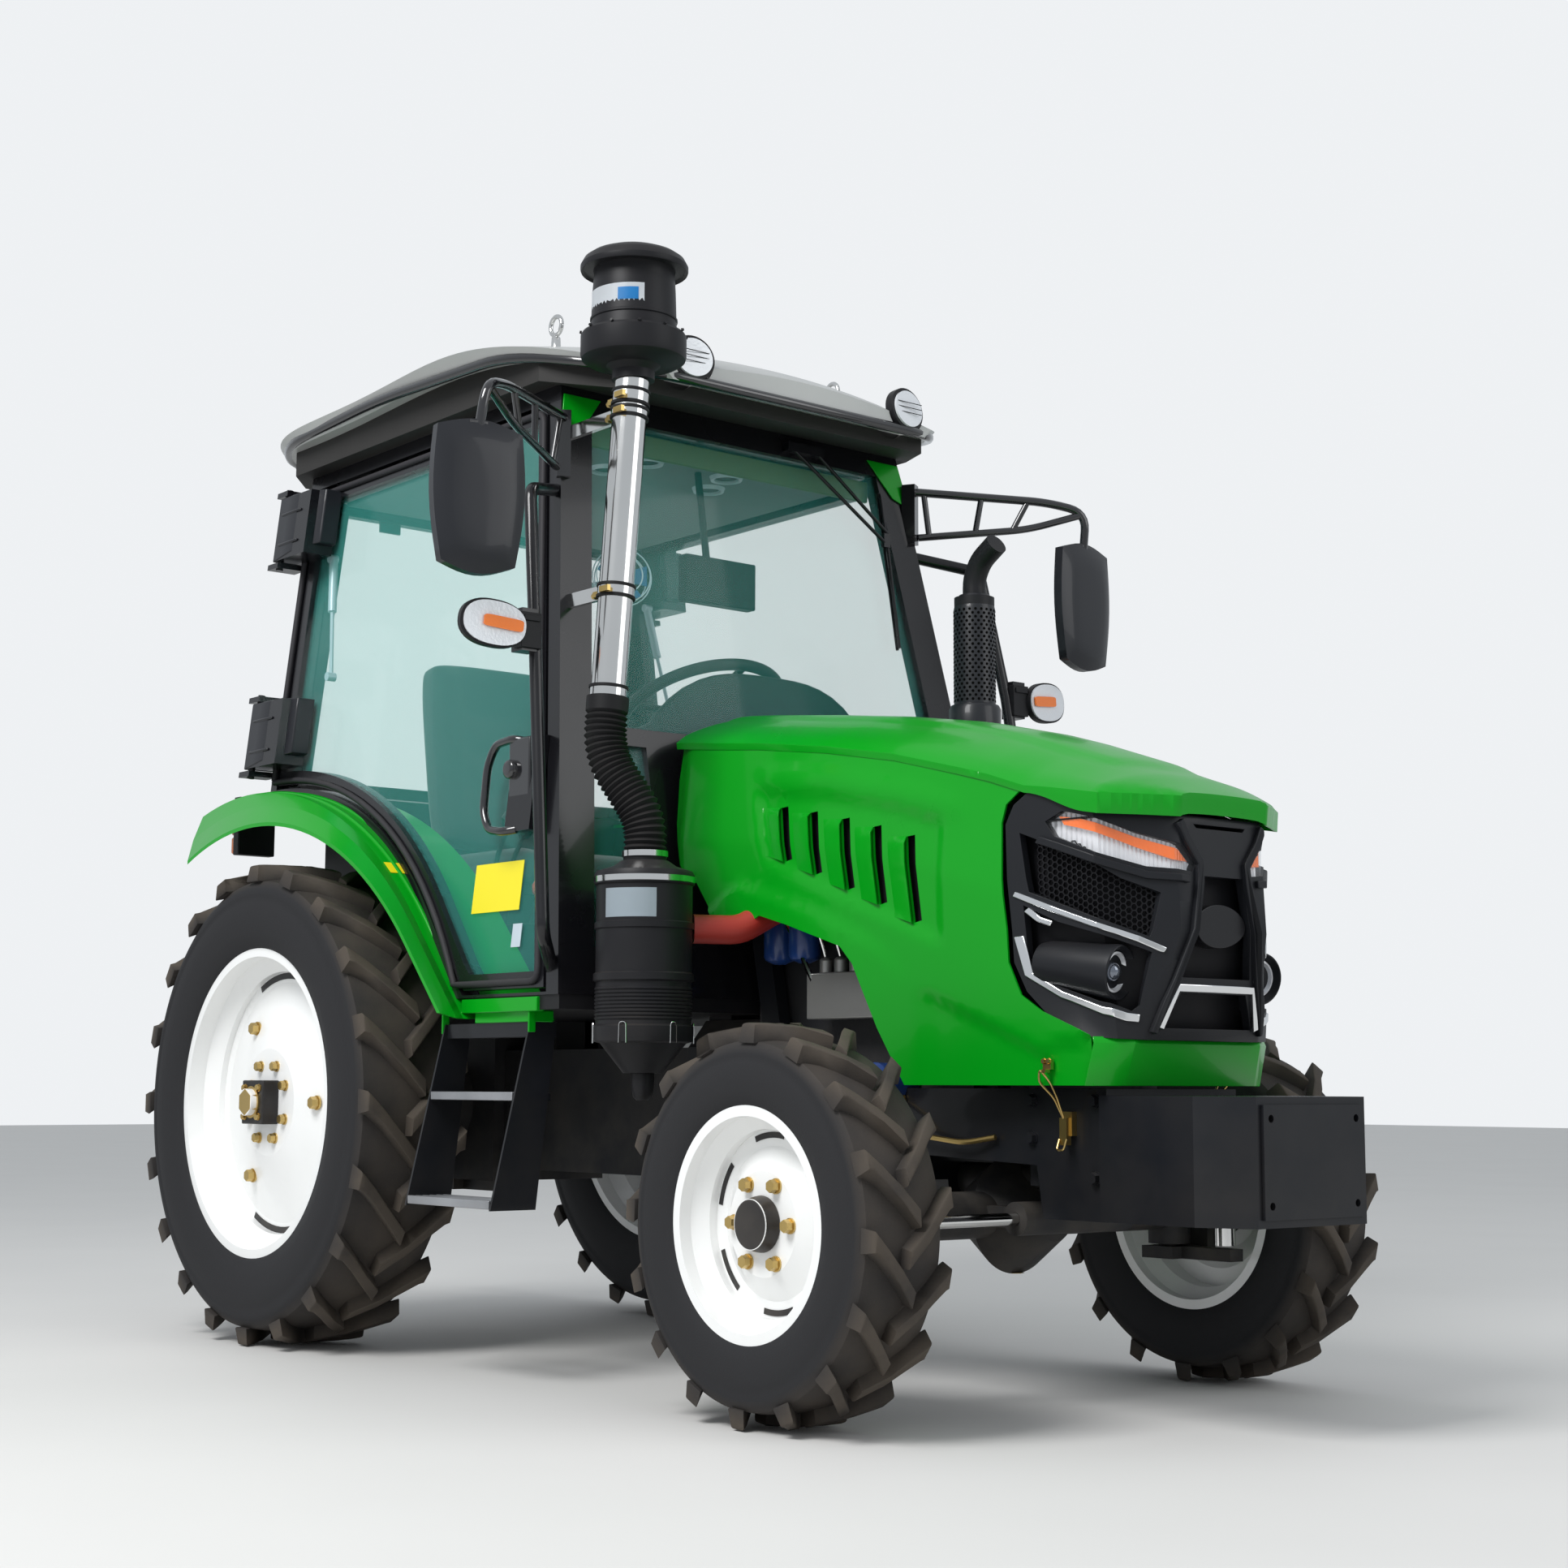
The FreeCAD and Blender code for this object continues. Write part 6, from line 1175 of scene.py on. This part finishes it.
def beside(side, x, z, off):
    """A place off the cab's side, which leans inwards."""
    return Vector((x, side * (0.568 - 0.116 * (z - 1.6) + off), z))


for side_name, side in SIDES:
    covers, handle, seal, strut = bmesh.new(), bmesh.new(), bmesh.new(), bmesh.new()
    for low in (1.4, 1.94):
        cover = bmesh.new()
        block(cover, (0, 0, 0), (1, 1, 1))
        bmesh.ops.subdivide_edges(cover, edges=cover.edges, cuts=3, use_grid_fill=True)
        for vert in cover.verts:
            ahead, out, rise = vert.co + Vector((0.5, 0.5, 0.5))
            z = low - 0.002 + rise * 0.169 + 0.0288 * ahead * (1 - rise)
            off = -0.004 + 0.08 * out * (1 - 0.42 * eased((ahead - 0.55) / 0.45))
            vert.co = beside(side, -0.2035 + ahead * 0.178, z, off)
        added(covers, cover)
        for middle in (low + 0.04, low + 0.12):
            block(covers, beside(side, -0.135, middle, 0.0765), (0.1, 0.006, 0.007))
    tube(handle, [beside(side, *place) for place in HANDLE], 0.0095, 12, 0.02, 4)
    block(handle, beside(side, 1.01, 1.252, 0.016), (0.08, 0.03, 0.198))
    spun(handle, ((-0.01, 0), (-0.01, 0.021), (0.016, 0.021), (0.022, 0.017), (0.023, 0)),
         beside(side, 0.985, 1.285, 0.028), 28, (0, side, 0))
    foot = [beside(side, *arch(degrees, 1.11), 0.004) for degrees in range(91, 30, -3)]
    rest = [beside(side, x, z, 0.004) for x, z in DOOR_EDGE]
    tube(seal, foot + bent(foot[-1:] + rest, 0.03, 4)[1:], 0.0075, 8)
    for radius, count, *places in ((0.011, 14, (-0.085, 1.943, -0.034), (-0.055, 1.8, -0.034)),
                                   (0.005, 10, (-0.055, 1.8, -0.034), (-0.015, 1.626, -0.034)),
                                   (0.011, 14, (-0.085, 1.943, -0.044), (-0.085, 1.943, -0.021)),
                                   (0.011, 14, (-0.015, 1.626, -0.044), (-0.015, 1.626, -0.021))):
        tube(strut, [beside(side, *place) for place in places], radius, count)
    body = "door_" + side_name
    piece("hinge_covers_" + side_name, covers, MIRROR_BLACK, body, edge=0.004)
    piece("door_seal_" + side_name, seal, SEAL_RUBBER, body, crease=60)
    piece("door_handle_" + side_name, handle, GLOSS_BLACK, body, edge=0.004)
    piece("door_strut_" + side_name, strut, LABEL, body)
    for title, made, rear, front, low, high in (("yellow", YELLOW, 0.812, 1.0, 0.985, 1.092),
                                                ("blue", LABEL, 0.985, 1.02, 0.905, 0.955)):
        label = bmesh.new()
        block(label, (0, 0, 0), (1, 1, 1))
        for vert in label.verts:
            along, out, up = vert.co + Vector((0.5, 0.5, 0.5))
            vert.co = beside(side, rear + along * (front - rear), low + up * (high - low),
                             out * 0.001 - 0.0135)
        piece("door_label_%s_%s" % (title, side_name), label, made, body)

# Roof: a black sealing edge all round, and four lifting eyes
ROOF_EDGE = ((-0.335, 0.49, 2.238), (-0.18, 0.584, 2.244), (0.3, 0.596, 2.256), (0.86, 0.59, 2.238),
             (1.07, 0.502, 2.19), (1.188, 0.388, 2.158))
path = [*ROOF_EDGE, *((x, -half, z) for x, half, z in reversed(ROOF_EDGE)), ROOF_EDGE[0]]
shape = bmesh.new()
tube(shape, path, 0.0125, 10, 0.12)
piece("roof_edge", shape, GLOSS_BLACK, crease=50)
shape = bmesh.new()
for x, z in ((0.8, 2.305), (-0.12, 2.29)):
    for y in (-0.42, 0.42):
        eye = [Matrix.Rotation(math.tau * number / 24, 3, "Y") @ Vector((0.022, 0, 0))
               for number in range(25)]
        tube(shape, [place + Vector((x, y, z + 0.05)) for place in eye], 0.0055, 10)
        spun(shape, ((-0.03, 0), (-0.03, 0.013), (0.022, 0.01), (0.03, 0)), (x, y, z), 20)
piece("lifting_eyes", shape, STEEL, crease=50)

# Steps: worn bright edges on the treads and green hangers under the sill
WORN_STEEL = finish("worn_step_edge", (0.36, 0.37, 0.39), 0.4, 0.8, 0.15, (140, 0.9), metal=0.7)
edges, hangers = bmesh.new(), bmesh.new()
for height, out in ((0.3705, 0.742), (0.5905, 0.69)):
    block(edges, (0.9255, 0.003 - out, height + 0.0015), (0.318, 0.01, 0.0175))
    for number in range(5):
        block(edges, (0.9255, 0.02 + number * 0.017 - out, height + 0.0085), (0.318, 0.006, 0.003))
for x in (0.7565, 1.0945):
    block(hangers, (x, -0.652, 0.752), (0.005, 0.018, 0.056))
block(hangers, (0.987, -0.626, 0.7575), (0.218, 0.056, 0.024))
block(hangers, (0.985, -0.655, 0.782), (0.29, 0.02, 0.03))
doubled(edges, hangers)
piece("step_edges", edges, WORN_STEEL, edge=0.0015)
piece("step_hangers", hangers, GREEN, edge=0.002)

# Exhaust guard: a perforated sleeve between a wide collar and a tapered cap; its holes are near-black discs
# of painted shade on the solid sleeve
# Near-black for the painted shade inside the guard's holes
HOLE_SHADE_BLACK = finish("painted_hole_shade", (0.002, 0.002, 0.002), 0.9, 0.1, 0, (500, 0), shine=0.05)
STACK = Vector((1.3, 0.43, 0))
guard, holes = bmesh.new(), bmesh.new()
spun(guard, ((1.44, 0), (1.44, 0.056), (1.444, 0.0605), (1.486, 0.0605), (1.494, 0.056), (1.497, 0.0485),
             (1.722, 0.0485), (1.742, 0.044), (1.756, 0.036), (1.758, 0)), STACK, 56)
# Painted shade: flat near-black discs where the perforations are; no holes are cut
for row in range(24):
    for number in range(22):
        degrees = 360 * (number + 0.5 * (row % 2)) / 22
        place = STACK + circle(degrees, 0.0487, 1.505 + row * 0.0092)
        bmesh.ops.create_cone(holes, segments=6, radius1=0.0036, radius2=0.0034, depth=0.001, cap_ends=True,
                              matrix=turned_to(place, circle(degrees)))
piece("exhaust_guard", guard, MIRROR_BLACK, crease=30)
piece("exhaust_guard_hole_shade", holes, HOLE_SHADE_BLACK, crease=0)

# Bonnet latches: a gold hook on each side panel's foot, and a wire bail on the rail that holds it
hooks, bails = bmesh.new(), bmesh.new()
block(hooks, (2.19, -0.25, 0.656), (0.02, 0.008, 0.018))
block(hooks, (2.19, -0.257, 0.644), (0.01, 0.012, 0.006))
block(bails, (2.18, -0.186, 0.548), (0.026, 0.014, 0.044))
block(bails, (2.18, -0.197, 0.534), (0.018, 0.012, 0.05))
for x in (2.184, 2.196):
    hex_bolt(hooks, (x, -0.253, 0.662), (0, -1, 0), 0.009, 0.005)
tube(bails, ((2.18, -0.2, 0.556), (2.176, -0.222, 0.596), (2.166, -0.25, 0.624), (2.18, -0.263, 0.648),
             (2.194, -0.25, 0.624), (2.184, -0.222, 0.596), (2.18, -0.2, 0.556)), 0.0022, 8, 0.01, 4)
tube(bails, ((2.172, -0.204, 0.52), (2.172, -0.212, 0.5), (2.19, -0.212, 0.5), (2.19, -0.204, 0.52)),
     0.002, 8, 0.006, 3)
doubled(hooks, bails)
piece("latch_hooks", hooks, GOLD_BOLT, "hood", crease=30)
piece("latch_bails", bails, GOLD_BOLT, crease=40)

# Fenders: two pressed ribs along each and a blank yellow label


def on_arch(degrees, radius, y):
    """A place on the fender at a radius, so far out."""
    x, z = arch(degrees, radius)
    return Vector((x, y, z))


ribs, label = bmesh.new(), bmesh.new()
for y in (-0.606, -0.64):
    tube(ribs, [on_arch(104 - 76 * number / 40, 1.0735, y) for number in range(41)], 0.006, 10)
bmesh.ops.create_grid(label, x_segments=6, y_segments=1, size=1)
for vert in label.verts:
    vert.co = on_arch(52 - 1.1 * vert.co.x, 1.0748, -0.622 + vert.co.y * 0.042)
bmesh.ops.solidify(label, geom=label.faces[:], thickness=-0.0008)
doubled(ribs, label)
piece("fender_ribs", ribs, GREEN, crease=60)
piece("fender_labels", label, YELLOW)

# Engine bay: pump and fuel lines, filters, alternator, starter, manifold and coolant hoses
BARE_ALLOY = finish("bare_alloy", (0.34, 0.34, 0.33), 0.45, 0.4, 0.25, (260, 0.5), metal=0.8)
FILTER_BLUE = finish("blue_filter_can", (0.01, 0.05, 0.22), 0.35, 0.2, 0.2, (400, 0.05), coat=0.4)
ALTERNATOR, STARTER = (1.8, -0.195, 0.93), (1.33, 0.19, 0.6)
AHEAD, BACK = (1, 0, 0), (-1, 0, 0)
alloy, dark, lines, filters = bmesh.new(), bmesh.new(), bmesh.new(), bmesh.new()
block(alloy, (1.56, -0.18, 0.8), (0.21, 0.062, 0.095))
block(alloy, (1.391, -0.18, 0.984), (0.16, 0.05, 0.026))
block(alloy, (1.8, -0.16, 0.865), (0.05, 0.03, 0.09))
for number in range(4):
    x, head = 1.49 + number * 0.047, 1.42 + number * 0.125
    spun(alloy, ((0, 0), (0, 0.015), (0.03, 0.015), (0.034, 0.009), (0.034, 0)), (x, -0.185, 0.846), 14)
    tube(lines, ((x, -0.185, 0.875), (x, -0.205, 0.93), (head, -0.205, 1.01), (head, -0.135, 1.062)),
         0.0038, 8, 0.03, 4)
    tube(dark, ((head, -0.14, 1.035), (head, -0.185, 1.035)), 0.02, 14)
tube(lines, ((1.36, -0.215, 0.985), (1.36, -0.225, 1.02), (1.44, -0.22, 0.9), (1.47, -0.205, 0.83)),
     0.006, 8, 0.03, 4)
tube(dark, ((1.38, -0.19, 1.035), (1.84, -0.19, 1.035)), 0.027, 16)
tube(dark, ((1.94, -0.06, 1.08), (1.985, -0.06, 1.105), (2.03, -0.06, 1.075), (2.03, -0.06, 1.03)),
     0.021, 16, 0.04, 5)
tube(dark, ((1.96, 0.12, 0.66), (1.99, 0.13, 0.64), (2.02, 0.13, 0.64)), 0.021, 16, 0.02, 4)
for x in (1.35, 1.432):
    spun(filters, ((0.87, 0), (0.87, 0.012), (0.878, 0.03), (0.886, 0.034), (0.965, 0.034), (0.972, 0.03),
                   (0.972, 0)), (x, -0.196, 0), 28)
spun(filters, ((0, 0), (0, 0.04), (0.085, 0.043), (0.098, 0.036), (0.1, 0)), (1.69, -0.145, 0.62), 32,
     (0, -1, 0))
spun(alloy, ((-0.06, 0), (-0.06, 0.04), (-0.045, 0.056), (0.04, 0.056), (0.055, 0.046), (0.06, 0.02),
             (0.06, 0)), ALTERNATOR, 32, AHEAD)
spun(dark, ((0.06, 0), (0.06, 0.018), (0.066, 0.034), (0.072, 0.028), (0.078, 0.034), (0.084, 0.018),
            (0.084, 0)),
     ALTERNATOR, 28, AHEAD)
spun(dark, ((-0.1, 0), (-0.1, 0.044), (0.07, 0.044), (0.08, 0.034), (0.11, 0.03), (0.11, 0)), STARTER, 28,
     AHEAD)
spun(dark, ((-0.05, 0), (-0.05, 0.024), (0.05, 0.024), (0.05, 0)), (1.33, 0.2, 0.666), 20, AHEAD)
for x in (1.42, 1.6, 1.78):
    block(alloy, (x, 0.152, 0.64), (0.09, 0.012, 0.06))
    for spread in (-0.032, 0.032):
        hex_bolt(lines, (x + spread, 0.158, 0.64), (0, 1, 0), 0.014, 0.008)
piece("engine_alloy_parts", alloy, BARE_ALLOY, crease=30, edge=0.003)
piece("engine_black_parts", dark, PLASTIC)
piece("engine_steel_lines", lines, STEEL)
piece("engine_filters", filters, FILTER_BLUE, crease=30)

# Chassis: gold steering pipes, rail bolts, flange bolts of the trumpets, and the bowl's drain plug
RAIL_BOLTS = ((1.34, 0.58), (1.34, 0.53), (1.42, 0.58), (1.42, 0.53), (2.08, 0.59), (2.08, 0.52),
              (2.24, 0.59), (2.24, 0.45))
gold, bolts = bmesh.new(), bmesh.new()
for side in (-1, 1):
    tube(gold, ((1.72, side * 0.186, 0.585), (1.76, side * 0.205, 0.56), (1.8, side * 0.205, 0.52),
                (1.92, side * 0.205, 0.508), (1.99, side * 0.19, 0.52)), 0.0055, 8, 0.03, 4)
    hex_bolt(gold, (1.716, side * 0.182, 0.588), (0, side, 0), 0.022, 0.016)
    for x, z in RAIL_BOLTS:
        hex_bolt(bolts, (x, side * 0.1795, z), (0, side, 0), 0.02, 0.011)
    bolt_ring(bolts, Vector((0, 0, 0.572)), side, range(0, 360, 36), 0.11, 0.3, 0.016, 0.009)
hex_bolt(gold, (1.851, 0, 0.25), (0, 0, -1), 0.026, 0.001)
piece("steering_pipes", gold, GOLD_BOLT, crease=30)
piece("chassis_bolts", bolts, BLACK_METAL, crease=20)

# Back of the cab: hydraulic couplers with caps, a trailer socket and a blank plate in its holder
COUPLER = ((0, 0), (0, 0.017), (0.012, 0.017), (0.014, 0.014), (0.036, 0.014), (0.038, 0.016),
           (0.046, 0.016), (0.046, 0))
CAP = ((0.044, 0), (0.044, 0.019), (0.056, 0.018), (0.06, 0.01), (0.06, 0))
SOCKET = ((-0.005, 0), (-0.005, 0.034), (0.016, 0.034), (0.02, 0.03), (0.036, 0.029), (0.038, 0))
alloy, dark, red, blue, plate = bmesh.new(), bmesh.new(), bmesh.new(), bmesh.new(), bmesh.new()
for number, cap in enumerate((red, blue, red, blue)):
    centre = (-0.217, 0.205 + number * 0.047, 0.905)
    spun(alloy, COUPLER, centre, 24, BACK)
    spun(cap, CAP, centre, 24, BACK)
spun(dark, SOCKET, (-0.192, -0.27, 0.91), 32, BACK)
block(dark, (-0.204, 0.275, 0.905), (0.026, 0.2, 0.07))
block(dark, (-0.236, -0.27, 0.918), (0.01, 0.062, 0.062))
block(dark, (-0.1945, -0.29, 1.21), (0.011, 0.26, 0.15))
block(plate, (-0.2015, -0.29, 1.21), (0.003, 0.24, 0.13))
piece("coupler_bodies", alloy, BARE_ALLOY, crease=30, edge=0.001)
piece("rear_holders", dark, PLASTIC, edge=0.003)
piece("coupler_caps_red", red, LENS_RED)
piece("coupler_caps_blue", blue, FAN_BLUE)
piece("blank_plate", plate, WHITE_LABEL, edge=0.001)
